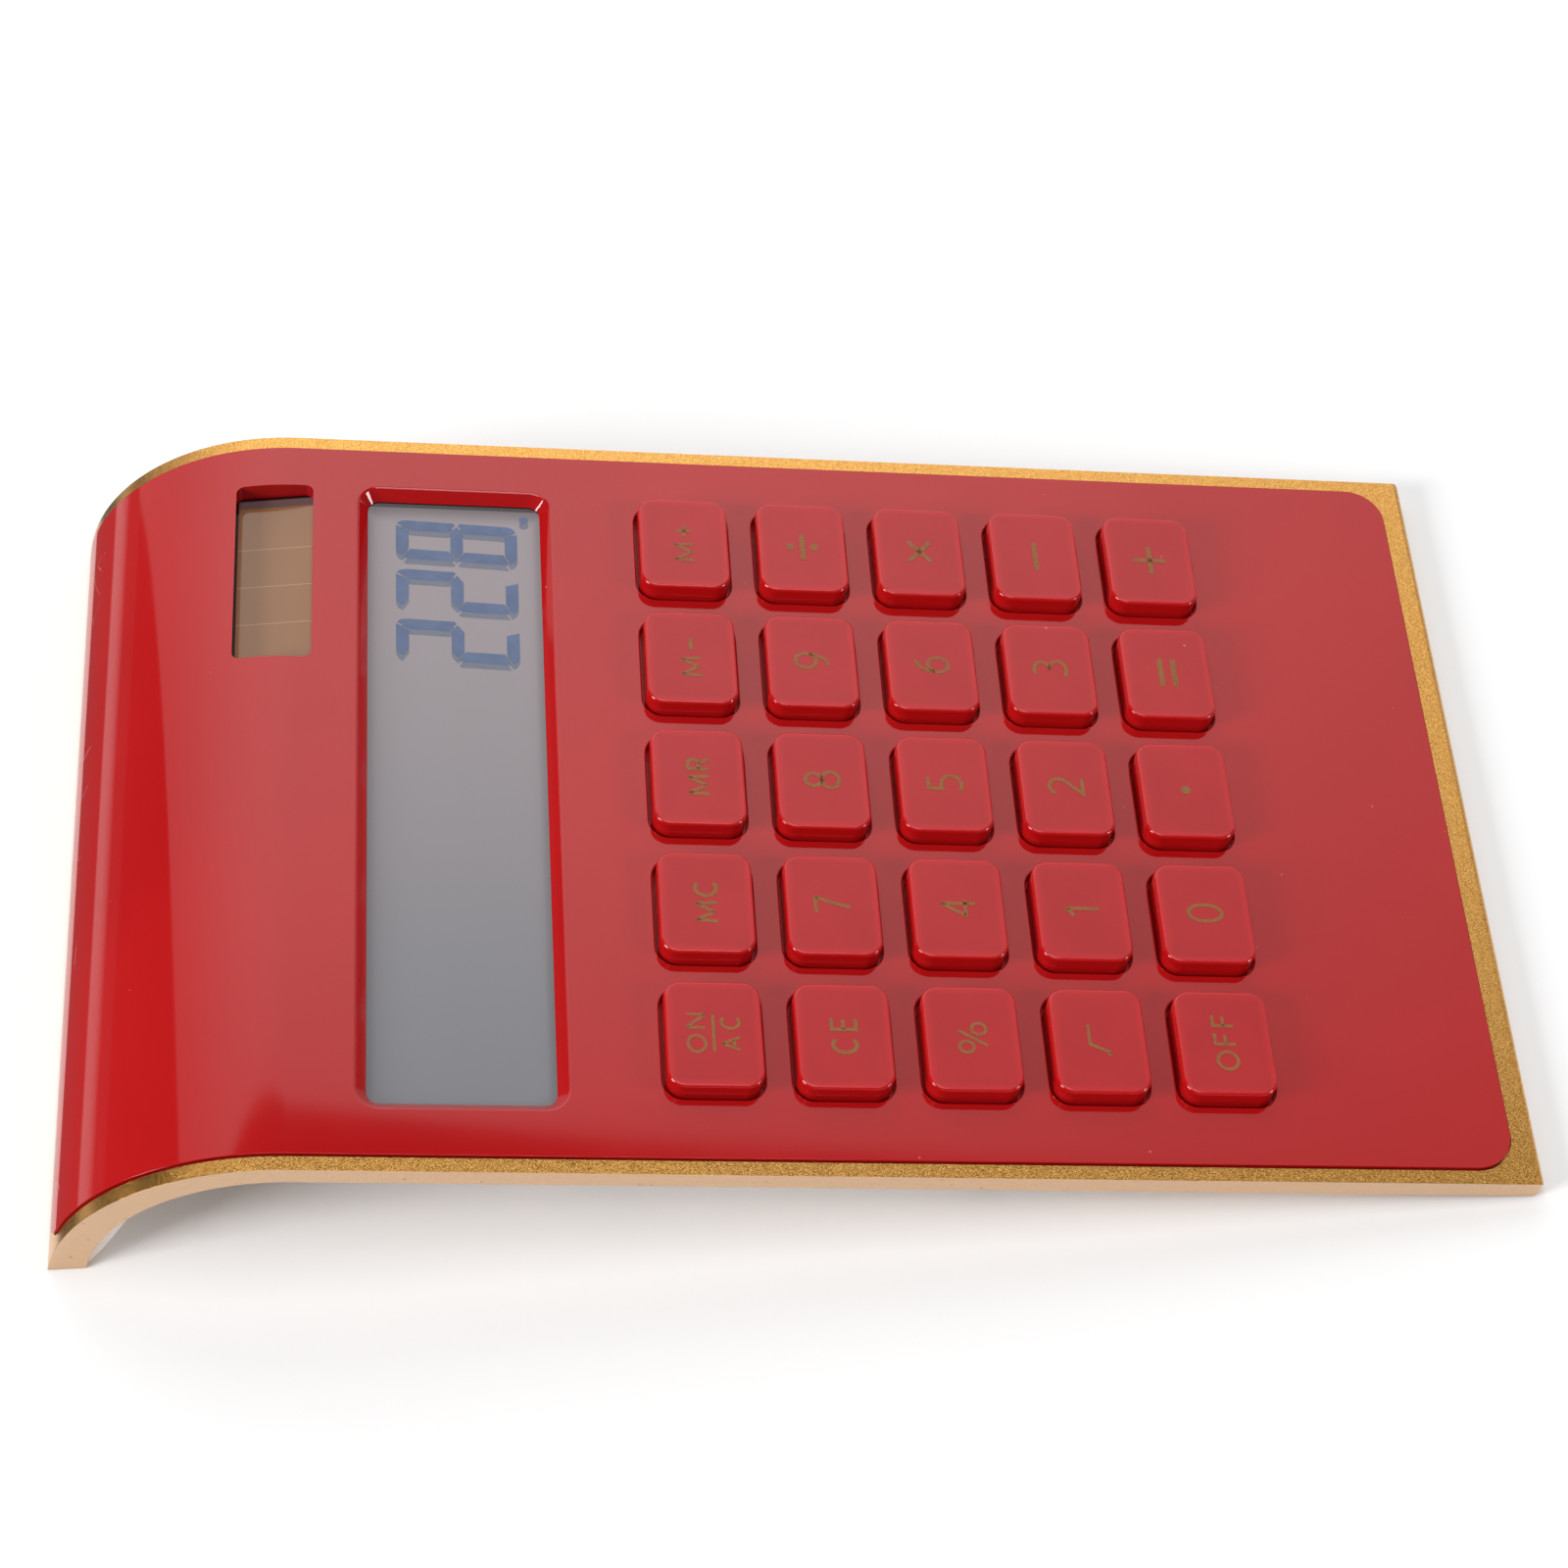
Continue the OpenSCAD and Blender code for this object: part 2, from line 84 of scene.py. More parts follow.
@dataclass(frozen=True)
class FaceFrame:
    """The slanted plane of the red face. Its y is 0 on the top key row and its z is 0 on the face."""

    matrix: Matrix

    @classmethod
    def from_part(cls, part: dict[str, Any], screen_y: float, screen_z: float) -> "FaceFrame":
        """Finds the face from a key's travel and from the display's flat sheet.

        Args:
            part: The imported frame.
            screen_y: Place of the sheet's middle along the face, in mm.
            screen_z: Depth of the sheet's middle, in mm.

        Returns:
            The face's frame, in millimetres on the face and metres in the row frame.
        """
        up = Vector(part["joints"][0]["axis"]).normalized()
        across = Vector((1.0, 0.0, 0.0))
        along = up.cross(across).normalized()
        low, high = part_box("lcd_polariser")
        origin = (low + high) / 2 - along * screen_y * MM - up * screen_z * MM
        turn = Matrix((across, along, up)).transposed()
        return cls(Matrix.Translation(origin) @ turn.to_4x4() @ Matrix.Scale(MM, 4))

# ---- hand tools ----


def put_down_everything() -> None:
    """Leaves edit mode and deselects all objects."""
    if bpy.context.object and bpy.context.object.mode != "OBJECT":
        bpy.ops.object.mode_set(mode="OBJECT")
    bpy.ops.object.select_all(action="DESELECT")


def take(obj: bpy.types.Object) -> None:
    """Makes one object the only selected and the active one."""
    put_down_everything()
    obj.select_set(True)
    bpy.context.view_layer.objects.active = obj


class Workpiece:
    """A mesh that is shaped with edit-mode tools, in millimetres, and then set on the face."""

    def __init__(self, obj: bpy.types.Object, name: str) -> None:
        """Takes over a new primitive and fixes its place in its mesh."""
        self.obj = obj
        obj.name = name
        obj.data.name = name
        take(obj)
        bpy.ops.object.transform_apply(location=True, rotation=True, scale=True)

    @classmethod
    def block(cls, name: str, low: Point, high: Point) -> "Workpiece":
        """A straight block between two corners."""
        put_down_everything()
        middle = [(a + b) / 2 for a, b in zip(low, high)]
        size = [b - a for a, b in zip(low, high)]
        bpy.ops.mesh.primitive_cube_add(size=1, location=middle)
        bpy.context.object.scale = size
        return cls(bpy.context.object, name)

    @classmethod
    def drum(cls, name: str, width: float, y: float, z: float, radius: float) -> "Workpiece":
        """A cylinder that lies across the face."""
        put_down_everything()
        bpy.ops.mesh.primitive_cylinder_add(
            vertices=192, radius=radius, depth=width, location=(0, y, z), rotation=(0, math.pi / 2, 0)
        )
        return cls(bpy.context.object, name)

    @classmethod
    def disc(
        cls, name: str, radius: float, x: float, y: float, low: float, high: float, sides: int = 24
    ) -> "Workpiece":
        """A short upright cylinder."""
        put_down_everything()
        bpy.ops.mesh.primitive_cylinder_add(
            vertices=sides, radius=radius, depth=high - low, location=(x, y, (low + high) / 2)
        )
        return cls(bpy.context.object, name)

    @classmethod
    def bent_slab(
        cls, name: str, width: float, top: float, bottom: float, front: float, bend: "Bend", angle: float
    ) -> "Workpiece":
        """A slab that runs along the face and turns down round the bend.

        Args:
            name: The piece's name.
            width: Its width across the face.
            top: Height of its upper side on the flat face.
            bottom: Height of its lower side on the flat face.
            front: Distance from the top key row to its straight end.
            bend: The bend that it follows.
            angle: How far it turns, in degrees.

        Returns:
            The closed slab.
        """
        put_down_everything()
        bpy.ops.mesh.primitive_plane_add(
            size=1, location=(0, -front, (top + bottom) / 2), rotation=(math.pi / 2, 0, 0)
        )
        bpy.context.object.scale = (width, top - bottom, 1)
        piece = cls(bpy.context.object, name)
        with piece.editing(whole=True):
            bpy.ops.mesh.extrude_region_move(TRANSFORM_OT_translate={"value": (0, front + bend.y, 0)})
            bpy.ops.mesh.spin(
                steps=bend.steps, angle=math.radians(angle), center=(0, bend.y, bend.z), axis=(1, 0, 0)
            )
            bpy.ops.mesh.select_all(action="SELECT")
            bpy.ops.mesh.remove_doubles(threshold=1e-4)
            bpy.ops.mesh.normals_make_consistent(inside=False)
        return piece

    @classmethod
    def trace(cls, name: str, points: Sequence[tuple[float, float]], height: float) -> "Workpiece":
        """A chain of edges through points at one height."""
        put_down_everything()
        bpy.ops.mesh.primitive_plane_add(size=1, location=(*points[0], height))
        chain = cls(bpy.context.object, name)
        with chain.editing("VERT", whole=True):
            bpy.ops.mesh.merge(type="CENTER")
            for (x0, y0), (x1, y1) in zip(points, points[1:]):
                bpy.ops.mesh.extrude_region_move(TRANSFORM_OT_translate={"value": (x1 - x0, y1 - y0, 0)})
            bpy.ops.mesh.select_all(action="SELECT")
            bpy.ops.mesh.remove_doubles(threshold=1e-3)
        return chain

    @contextmanager
    def editing(self, kind: str = "FACE", whole: bool = False) -> Iterator[None]:
        """Edit mode on this piece, with nothing or the whole of it selected at the start."""
        take(self.obj)
        bpy.ops.object.mode_set(mode="EDIT")
        bpy.ops.mesh.select_mode(type=kind)
        bpy.ops.mesh.select_all(action="SELECT" if whole else "DESELECT")
        yield
        bpy.ops.object.mode_set(mode="OBJECT")

    def pick_faces(self, test: Test) -> int:
        """Selects the faces whose middle and normal pass a test. Used while editing."""
        shape = bmesh.from_edit_mesh(self.obj.data)
        for face in shape.faces:
            face.select_set(test(face.calc_center_median(), face.normal))
        shape.select_flush_mode()
        bmesh.update_edit_mesh(self.obj.data)
        return sum(face.select for face in shape.faces)

    def pick_edges(self, test: Test, least_turn: float = 30.0) -> int:
        """Selects the edges that turn sharply and whose middle and direction pass a test."""
        shape = bmesh.from_edit_mesh(self.obj.data)
        shape.normal_update()
        for edge in shape.edges:
            middle = (edge.verts[0].co + edge.verts[1].co) / 2
            sharp = len(edge.link_faces) == 2 and edge.calc_face_angle(0.0) > math.radians(least_turn)
            run = (edge.verts[1].co - edge.verts[0].co).normalized()
            edge.select_set(sharp and test(middle, run))
        shape.select_flush_mode()
        bmesh.update_edit_mesh(self.obj.data)
        return sum(edge.select for edge in shape.edges)

    def round_edges(
        self, test: Test, radius: float, segments: int = 3, least_turn: float = 30.0
    ) -> "Workpiece":
        """Rounds the sharp edges that pass a test."""
        with self.editing("EDGE"):
            if self.pick_edges(test, least_turn):
                bpy.ops.mesh.bevel(offset=radius, segments=segments, affect="EDGES", clamp_overlap=True)
        return self

    def boolean(self, other: "Workpiece", operation: str) -> "Workpiece":
        """Joins, cuts or trims this piece with another one, which is used up."""
        take(self.obj)
        step = self.obj.modifiers.new("step", "BOOLEAN")
        step.operation = operation
        step.solver = "EXACT"
        step.object = other.obj
        bpy.ops.object.modifier_apply(modifier=step.name)
        other.discard()
        return self

    def cut(self, other: "Workpiece") -> "Workpiece":
        """Takes another piece's room out of this one."""
        return self.boolean(other, "DIFFERENCE")

    def trim_to(self, other: "Workpiece") -> "Workpiece":
        """Keeps only what lies inside another piece."""
        return self.boolean(other, "INTERSECT")

    def weld(self, other: "Workpiece") -> "Workpiece":
        """Makes one solid of this piece and another."""
        return self.boolean(other, "UNION")

    def slice_off(self, point: Point, normal: Point) -> "Workpiece":
        """Removes what lies beyond a plane and closes the cut."""
        with self.editing(whole=True):
            bpy.ops.mesh.bisect(plane_co=point, plane_no=normal, use_fill=True, clear_outer=True)
        return self

    def lean(self, degrees: float, y: float, z: float) -> "Workpiece":
        """Leans the piece about a line across the face, its display end going down."""
        with self.editing(whole=True):
            bpy.ops.transform.rotate(
                value=math.radians(degrees), orient_axis="X", orient_type="GLOBAL", center_override=(0, y, z))
        return self

    def tidy(self) -> "Workpiece":
        """Merges doubled points and clears slivers that the cuts leave."""
        with self.editing(whole=True):
            bpy.ops.mesh.remove_doubles(threshold=2e-3)
            bpy.ops.mesh.dissolve_degenerate(threshold=1e-3)
            bpy.ops.mesh.normals_make_consistent(inside=False)
        return self

    def smooth(self, angle: float = 40.0) -> "Workpiece":
        """Smooth shading that keeps the flat faces flat."""
        take(self.obj)
        bpy.ops.object.shade_smooth_by_angle(angle=math.radians(angle))
        even = self.obj.modifiers.new("even", "WEIGHTED_NORMAL")
        even.keep_sharp = True
        bpy.ops.object.modifier_apply(modifier=even.name)
        return self

    def twin(self, name: str, move: Point = (0, 0, 0)) -> "Workpiece":
        """A copy with its own mesh, moved along the face."""
        take(self.obj)
        bpy.ops.object.duplicate()
        copy = bpy.context.object
        copy.location = move
        return Workpiece(copy, name)

    def gather(self, others: Sequence["Workpiece"]) -> "Workpiece":
        """Joins other pieces into this object, each as a loose part."""
        take(self.obj)
        for other in others:
            other.obj.select_set(True)
        bpy.ops.object.join()
        return self

    def set_on(self, face: FaceFrame) -> bpy.types.Object:
        """Moves the piece from the drawing board to the face, in metres."""
        take(self.obj)
        self.obj.matrix_world = face.matrix
        bpy.ops.object.transform_apply(location=True, rotation=True, scale=True)
        return self.obj

    def discard(self) -> None:
        """Removes the piece."""
        mesh = self.obj.data
        bpy.data.objects.remove(self.obj)
        bpy.data.meshes.remove(mesh)


def rounded_block(
    name: str, width: float, length: float, radius: float, low: float, high: float,
    x: float = 0.0, y: float = 0.0, segments: int = 8,
) -> Workpiece:
    """A straight block whose plan has round corners.

    Args:
        name: The piece's name.
        width: Size across the face.
        length: Size along the face.
        radius: Corner radius of the plan.
        low: Height of the lower side.
        high: Height of the upper side.
        x: Middle across the face.
        y: Middle along the face.
        segments: Steps in each corner.

    Returns:
        The block.
    """
    piece = Workpiece.block(name, (x - width / 2, y - length / 2, low), (x + width / 2, y + length / 2, high))
    return piece.round_edges(lambda _, run: abs(run.z) > 0.9, radius, segments)


# ---- finishes ----


class Board:
    """The nodes of one material or node group, with short ways to add and join them."""

    def __init__(self, tree: bpy.types.NodeTree) -> None:
        """Takes the tree that the nodes go in."""
        self.tree = tree

    def add(self, kind: str, **values: Any) -> bpy.types.Node:
        """Adds a node and sets its properties.

        Args:
            kind: The node's type name.
            values: Properties of the node; inputs are set apart.

        Returns:
            The node.
        """
        node = self.tree.nodes.new(kind)
        for key, value in values.items():
            setattr(node, key, value)
        return node

    def join(self, start: Socket, end: Socket) -> None:
        """Links an output to an input."""
        self.tree.links.new(start, end)

    def sum(self, operation: str, a: Any, b: Any = None) -> Socket:
        """A Math node on sockets or plain numbers."""
        node = self.add("ShaderNodeMath", operation=operation)
        for slot, value in zip(node.inputs, (a, b)):
            if isinstance(value, Socket):
                self.join(value, slot)
            elif value is not None:
                slot.default_value = value
        return node.outputs[0]

    def dot(self, vector: Socket, axis: Sequence[float]) -> Socket:
        """The dot product of a vector and a fixed axis."""
        node = self.add("ShaderNodeVectorMath", operation="DOT_PRODUCT")
        self.join(vector, node.inputs[0])
        node.inputs[1].default_value = axis
        return node.outputs["Value"]

    def mix(self, factor: Any, a: Any, b: Any) -> Socket:
        """A colour mix of sockets or plain colours."""
        node = self.add("ShaderNodeMix", data_type="RGBA")
        for slot, value in ((node.inputs[0], factor), (node.inputs[6], a), (node.inputs[7], b)):
            if isinstance(value, Socket):
                self.join(value, slot)
            else:
                slot.default_value = value if isinstance(value, float) else (*value, 1.0)
        return node.outputs[2]

    def remap(self, value: Socket, low: float, high: float, to_low: float = 0, to_high: float = 1) -> Socket:
        """A value mapped smoothly from one span to another."""
        node = self.add("ShaderNodeMapRange", interpolation_type="SMOOTHSTEP")
        self.join(value, node.inputs[0])
        for slot, number in zip(node.inputs[1:5], (low, high, to_low, to_high)):
            slot.default_value = number
        return node.outputs[0]

    def effect(self, group: bpy.types.NodeTree, vector: Socket, **values: float) -> bpy.types.Node:
        """Places a shared effect and sets its named inputs."""
        node = self.add("ShaderNodeGroup", node_tree=group)
        self.join(vector, node.inputs["Vector"])
        for key, value in values.items():
            node.inputs[key].default_value = value
        return node


def new_effect(
    name: str, floats: dict[str, float], outputs: Sequence[str] = ("Value",)
) -> tuple[Board, bpy.types.Node, bpy.types.Node]:
    """Starts a shader node group with a Vector input, number inputs and outputs."""
    group = bpy.data.node_groups.new(name, "ShaderNodeTree")
    group.interface.new_socket("Vector", in_out="INPUT", socket_type="NodeSocketVector")
    for key, value in floats.items():
        group.interface.new_socket(key, in_out="INPUT", socket_type="NodeSocketFloat").default_value = value
    for key in outputs:
        group.interface.new_socket(key, in_out="OUTPUT", socket_type="NodeSocketFloat")
    board = Board(group)
    return board, board.add("NodeGroupInput"), board.add("NodeGroupOutput")


class Effects:
    """The surface effects that several finishes share, each built once."""

    def __init__(self) -> None:
        """Builds every group."""
        self.mottle = self._mottle()
        self.dust = self._dust()
        self.hairlines = self._hairlines()
        self.flake = self._flake()

    def _mottle(self) -> bpy.types.NodeTree:
        """Soft uneven shade of moulded and painted surfaces."""
        board, start, end = new_effect("mottle", {"Scale": 60.0, "Detail": 3.0})
        noise = board.add("ShaderNodeTexNoise")
        board.join(start.outputs["Vector"], noise.inputs["Vector"])
        board.join(start.outputs["Scale"], noise.inputs["Scale"])
        board.join(start.outputs["Detail"], noise.inputs["Detail"])
        board.join(board.remap(noise.outputs[0], 0.3, 0.7), end.inputs["Value"])
        return board.tree

    def _dust(self) -> bpy.types.NodeTree:
        """A mask of rare small specks."""
        board, start, end = new_effect("dust", {"Scale": 700.0, "Amount": 0.06})
        cells = board.add("ShaderNodeTexVoronoi", feature="F1")
        board.join(start.outputs["Vector"], cells.inputs["Vector"])
        board.join(start.outputs["Scale"], cells.inputs["Scale"])
        rare = board.add("ShaderNodeSeparateColor")
        board.join(cells.outputs["Color"], rare.inputs[0])
        chosen = board.sum("LESS_THAN", rare.outputs[0], start.outputs["Amount"])
        size = board.sum("MULTIPLY", rare.outputs[1], 0.16)
        dot = board.sum("LESS_THAN", cells.outputs["Distance"], size)
        board.join(board.sum("MULTIPLY", chosen, dot), end.inputs["Value"])
        return board.tree

    def _hairlines(self) -> bpy.types.NodeTree:
        """A mask of fine curved scratches."""
        board, start, end = new_effect("hairlines", {"Scale": 90.0, "Width": 0.012})
        bend = board.add("ShaderNodeTexNoise")
        bend.inputs["Scale"].default_value = 45.0
        board.join(start.outputs["Vector"], bend.inputs["Vector"])
        shift = board.add("ShaderNodeVectorMath", operation="MULTIPLY_ADD")
        board.join(bend.outputs["Color"], shift.inputs[0])
        shift.inputs[1].default_value = (0.012, 0.012, 0.012)
        board.join(start.outputs["Vector"], shift.inputs[2])
        cells = board.add("ShaderNodeTexVoronoi", feature="DISTANCE_TO_EDGE")
        board.join(shift.outputs[0], cells.inputs["Vector"])
        board.join(start.outputs["Scale"], cells.inputs["Scale"])
        line = board.sum("LESS_THAN", cells.outputs["Distance"], start.outputs["Width"])
        part = board.add("ShaderNodeTexNoise")
        part.inputs["Scale"].default_value = 130.0
        board.join(start.outputs["Vector"], part.inputs["Vector"])
        board.join(board.sum("MULTIPLY", line, board.remap(part.outputs[0], 0.5, 0.62)), end.inputs["Value"])
        return board.tree

    def _flake(self) -> bpy.types.NodeTree:
        """Metal flakes: a shade per flake and a height for the sparkle."""
        board, start, end = new_effect("flake", {"Scale": 9000.0}, ("Value", "Height"))
        cells = board.add("ShaderNodeTexVoronoi", feature="F1")
        board.join(start.outputs["Vector"], cells.inputs["Vector"])
        board.join(start.outputs["Scale"], cells.inputs["Scale"])
        split = board.add("ShaderNodeSeparateColor")
        board.join(cells.outputs["Color"], split.inputs[0])
        board.join(split.outputs[0], end.inputs["Value"])
        grain = board.add("ShaderNodeTexNoise")
        board.join(start.outputs["Vector"], grain.inputs["Vector"])
        grain.inputs["Scale"].default_value = 5200.0
        board.join(board.sum("ADD", split.outputs[1], grain.outputs[0]), end.inputs["Height"])
        return board.tree


class Finish:
    """A material with a Principled shader, object coordinates and the shared effects at hand."""

    def __init__(self, name: str, effects: Effects | None = None, **constants: Any) -> None:
        """Makes the material and sets the constants on the shader's own sockets."""
        self.effects = effects
        self.material = bpy.data.materials.new(name)
        self.material.use_nodes = True
        self.board = Board(self.material.node_tree)
        self.shader = self.material.node_tree.nodes["Principled BSDF"]
        self.where = self.board.add("ShaderNodeTexCoord").outputs["Object"]
        for key, value in constants.items():
            self.set(key, value)

    def set(self, socket: str, value: Any) -> None:
        """Sets or links an input of the shader."""
        slot = self.shader.inputs[socket.replace("_", " ")]
        if isinstance(value, Socket):
            self.board.join(value, slot)
        else:
            slot.default_value = (*value, 1.0) if isinstance(value, tuple) else value

    def mottle(self, scale: float, detail: float) -> Socket:
        """A soft uneven shade over the surface."""
        return self.board.effect(self.effects.mottle, self.where, Scale=scale, Detail=detail).outputs[0]

    def dust(self, scale: float, amount: float) -> Socket:
        """A mask of rare specks."""
        return self.board.effect(self.effects.dust, self.where, Scale=scale, Amount=amount).outputs[0]

    def facing(self, axis: Vector) -> Socket:
        """How squarely the surface faces an axis, from -1 to 1."""
        return self.board.dot(self.board.add("ShaderNodeTexCoord").outputs["Normal"], axis)

    def bump(self, height: Socket, strength: float, distance: float) -> None:
        """Adds a bump from a height."""
        node = self.board.add("ShaderNodeBump")
        node.inputs["Strength"].default_value = strength
        node.inputs["Distance"].default_value = distance
        self.board.join(height, node.inputs["Height"])
        self.set("Normal", node.outputs[0])

    def along_face(self, face: FaceFrame, row: int) -> Socket:
        """One of the face's three coordinates (0 across, 1 along, 2 up), in millimetres."""
        inverse = face.matrix.inverted()
        return self.board.sum("ADD", self.board.dot(self.where, inverse[row][:3]), inverse[row][3])


@dataclass(frozen=True)
class Moulded:
    """Plain plastic, rubber, print or metal with a soft mottle and a fine grain."""

    name: str
    colour: Colour
    shade: Colour
    roughness: float
    metallic: float = 0.0
    grain: float = 900.0
    depth: float = 0.08

    def make(self, effects: Effects) -> bpy.types.Material:
        """Builds the material."""
        finish = Finish(self.name, effects, Metallic=self.metallic)
        patch = finish.mottle(70.0, 4.0)
        fine = finish.mottle(self.grain, 2.0)
        finish.set("Base_Color", finish.board.mix(patch, self.shade, self.colour))
        rough = (self.roughness * 0.85, min(1.0, self.roughness * 1.15))
        finish.set("Roughness", finish.board.remap(fine, 0.0, 1.0, *rough))
        finish.bump(fine, self.depth, 0.00005)
        return finish.material


@dataclass(frozen=True)
class RedGloss:
    """Mirror gloss red of the face, with faint waves, dust and a scratched lower edge."""

    colour: Colour = (0.400, 0.0060, 0.0068)
    deep: Colour = (0.375, 0.0048, 0.0058)
    scratch_top: float = -14.6

    def make(self, effects: Effects, face: FaceFrame) -> bpy.types.Material:
        """Builds the material."""
        finish = Finish("red_gloss_finish", effects, IOR=1.5)
        board = finish.board
        patch = finish.mottle(38.0, 3.0)
        dust = finish.dust(900.0, 0.02)
        lines = board.effect(effects.hairlines, finish.where, Scale=150.0, Width=0.010).outputs[0]
        low = board.remap(finish.along_face(face, 2), self.scratch_top - 0.8, self.scratch_top, 1.0, 0.0)
        worn = board.sum("MULTIPLY", lines, low)
        colour = board.mix(patch, self.deep, self.colour)
        colour = board.mix(board.sum("MULTIPLY", dust, 0.22), colour, (0.75, 0.35, 0.33))
        colour = board.mix(board.sum("MULTIPLY", worn, 0.3), colour, (0.70, 0.35, 0.32))
        finish.set("Base_Color", colour)
        rough = board.remap(patch, 0.0, 1.0, 0.045, 0.060)
        marks = board.sum("MULTIPLY", board.sum("MAXIMUM", dust, worn), 0.3)
        finish.set("Roughness", board.sum("ADD", rough, marks))
        wave = finish.mottle(16.0, 1.0)
        finish.bump(wave, 0.06, 0.0004)
        return finish.material


@dataclass(frozen=True)
class RedKey:
    """Red of the keys: satin on top, glossy on the sides, with painted light on the sides and a painted
    highlight along the top edges.
    """

    colour: Colour = (0.400, 0.0075, 0.0100)
    deep: Colour = (0.370, 0.0060, 0.0080)
    # Painted highlight: the lighter red along the edges of each key's top.
    painted_rim_light: Colour = (0.560, 0.0110, 0.0150)
    # Painted light: a brighter, more saturated copy of the key red for the sides.
    side: Colour = (0.460, 0.0058, 0.0068)

    def make(self, effects: Effects, face: FaceFrame, pad: "KeyPad") -> bpy.types.Material:
        """Builds the material."""
        finish = Finish("red_key_finish", effects, IOR=1.5)
        board = finish.board
        patch = finish.mottle(120.0, 4.0)
        fine = finish.mottle(2600.0, 2.0)
        dust = finish.dust(520.0, 0.03)
        up = face.matrix.to_3x3() @ Vector((0, 0, 1 / MM))
        top = board.remap(finish.facing(up), 0.80, 0.99)
        # Painted highlight: bands along the edges of each key's top face, mixed towards the lighter red
        # below.
        painted_rim_lights = []
        for row, pitch, half in ((0, pad.pitch_x, pad.width / 2), (1, pad.pitch_y, pad.length / 2)):
            line = board.sum("PINGPONG", finish.along_face(face, row), pitch / 2)
            painted_rim_lights.append(board.remap(line, half - 1.2, half - 0.1))
        painted_rim_light = board.sum("MULTIPLY", board.sum("MAXIMUM", painted_rim_lights[0], painted_rim_lights[1]), top)
        # Painted light: faces that don't look up take the lit side red; the same top mask also sets the satin
        # roughness.
        colour = board.mix(top, self.side, board.mix(patch, self.deep, self.colour))
        colour = board.mix(board.sum("MULTIPLY", painted_rim_light, 0.55), colour, self.painted_rim_light)
        colour = board.mix(board.sum("MULTIPLY", dust, 0.3), colour, (0.75, 0.40, 0.38))
        finish.set("Base_Color", colour)
        satin = board.sum("ADD", board.sum("MULTIPLY", top, 0.22), 0.07)
        finish.set("Roughness", board.sum("ADD", satin, board.sum("MULTIPLY", fine, 0.04)))
        finish.bump(board.sum("MULTIPLY", fine, top), 0.05, 0.00002)
        return finish.material


@dataclass(frozen=True)
class GoldPaint:
    """Gold paint with fine metal flakes; the long sides are painted paler to stand in for the light they
    catch.
    """

    colour: Colour = (0.84, 0.465, 0.135)
    dark: Colour = (0.50, 0.235, 0.050)
    # Painted light: the paler gold of the long sides.
    side: Colour = (0.70, 0.49, 0.34)

    def make(self, effects: Effects) -> bpy.types.Material:
        """Builds the material."""
        finish = Finish("gold_paint_finish", effects, Metallic=0.94, Specular_IOR_Level=0.5)
        board = finish.board
        flake = board.effect(effects.flake, finish.where, Scale=7000.0)
        # Painted light: faces that look along x are mixed towards the paler side gold.
        painted_flank_light = board.remap(board.sum("ABSOLUTE", finish.facing(Vector((1, 0, 0)))), 0.70, 0.97, 0.0, 0.75)
        patch = finish.mottle(220.0, 5.0)
        dust = finish.dust(900.0, 0.05)
        weights = (board.sum("MULTIPLY", flake.outputs["Value"], 0.85), board.sum("MULTIPLY", patch, 0.02))
        shade = board.sum("ADD", *weights)
        colour = board.mix(painted_flank_light, board.mix(shade, self.dark, self.colour), self.side)
        finish.set("Base_Color", board.mix(board.sum("MULTIPLY", dust, 0.6), colour, (0.22, 0.10, 0.03)))
        finish.set("Roughness", board.remap(flake.outputs["Value"], 0.0, 1.0, 0.13, 0.26))
        finish.bump(flake.outputs["Height"], 0.50, 0.00003)
        return finish.material


@dataclass(frozen=True)
class KeyInk:
    """Grainy olive-gold print of the key legends."""

    colour: Colour = (0.245, 0.092, 0.014)
    thin: Colour = (0.210, 0.050, 0.010)

    def make(self, effects: Effects) -> bpy.types.Material:
        """Builds the material."""
        finish = Finish("key_ink_finish", effects)
        board = finish.board
        grain = finish.mottle(3800.0, 2.0)
        patch = finish.mottle(420.0, 3.0)
        colour = board.mix(board.sum("MULTIPLY", grain, 0.8), self.colour, self.thin)
        finish.set("Base_Color", board.mix(board.sum("MULTIPLY", patch, 0.35), colour, (0.28, 0.115, 0.020)))
        finish.set("Roughness", board.remap(grain, 0.0, 1.0, 0.42, 0.6))
        finish.bump(grain, 0.15, 0.00002)
        return finish.material


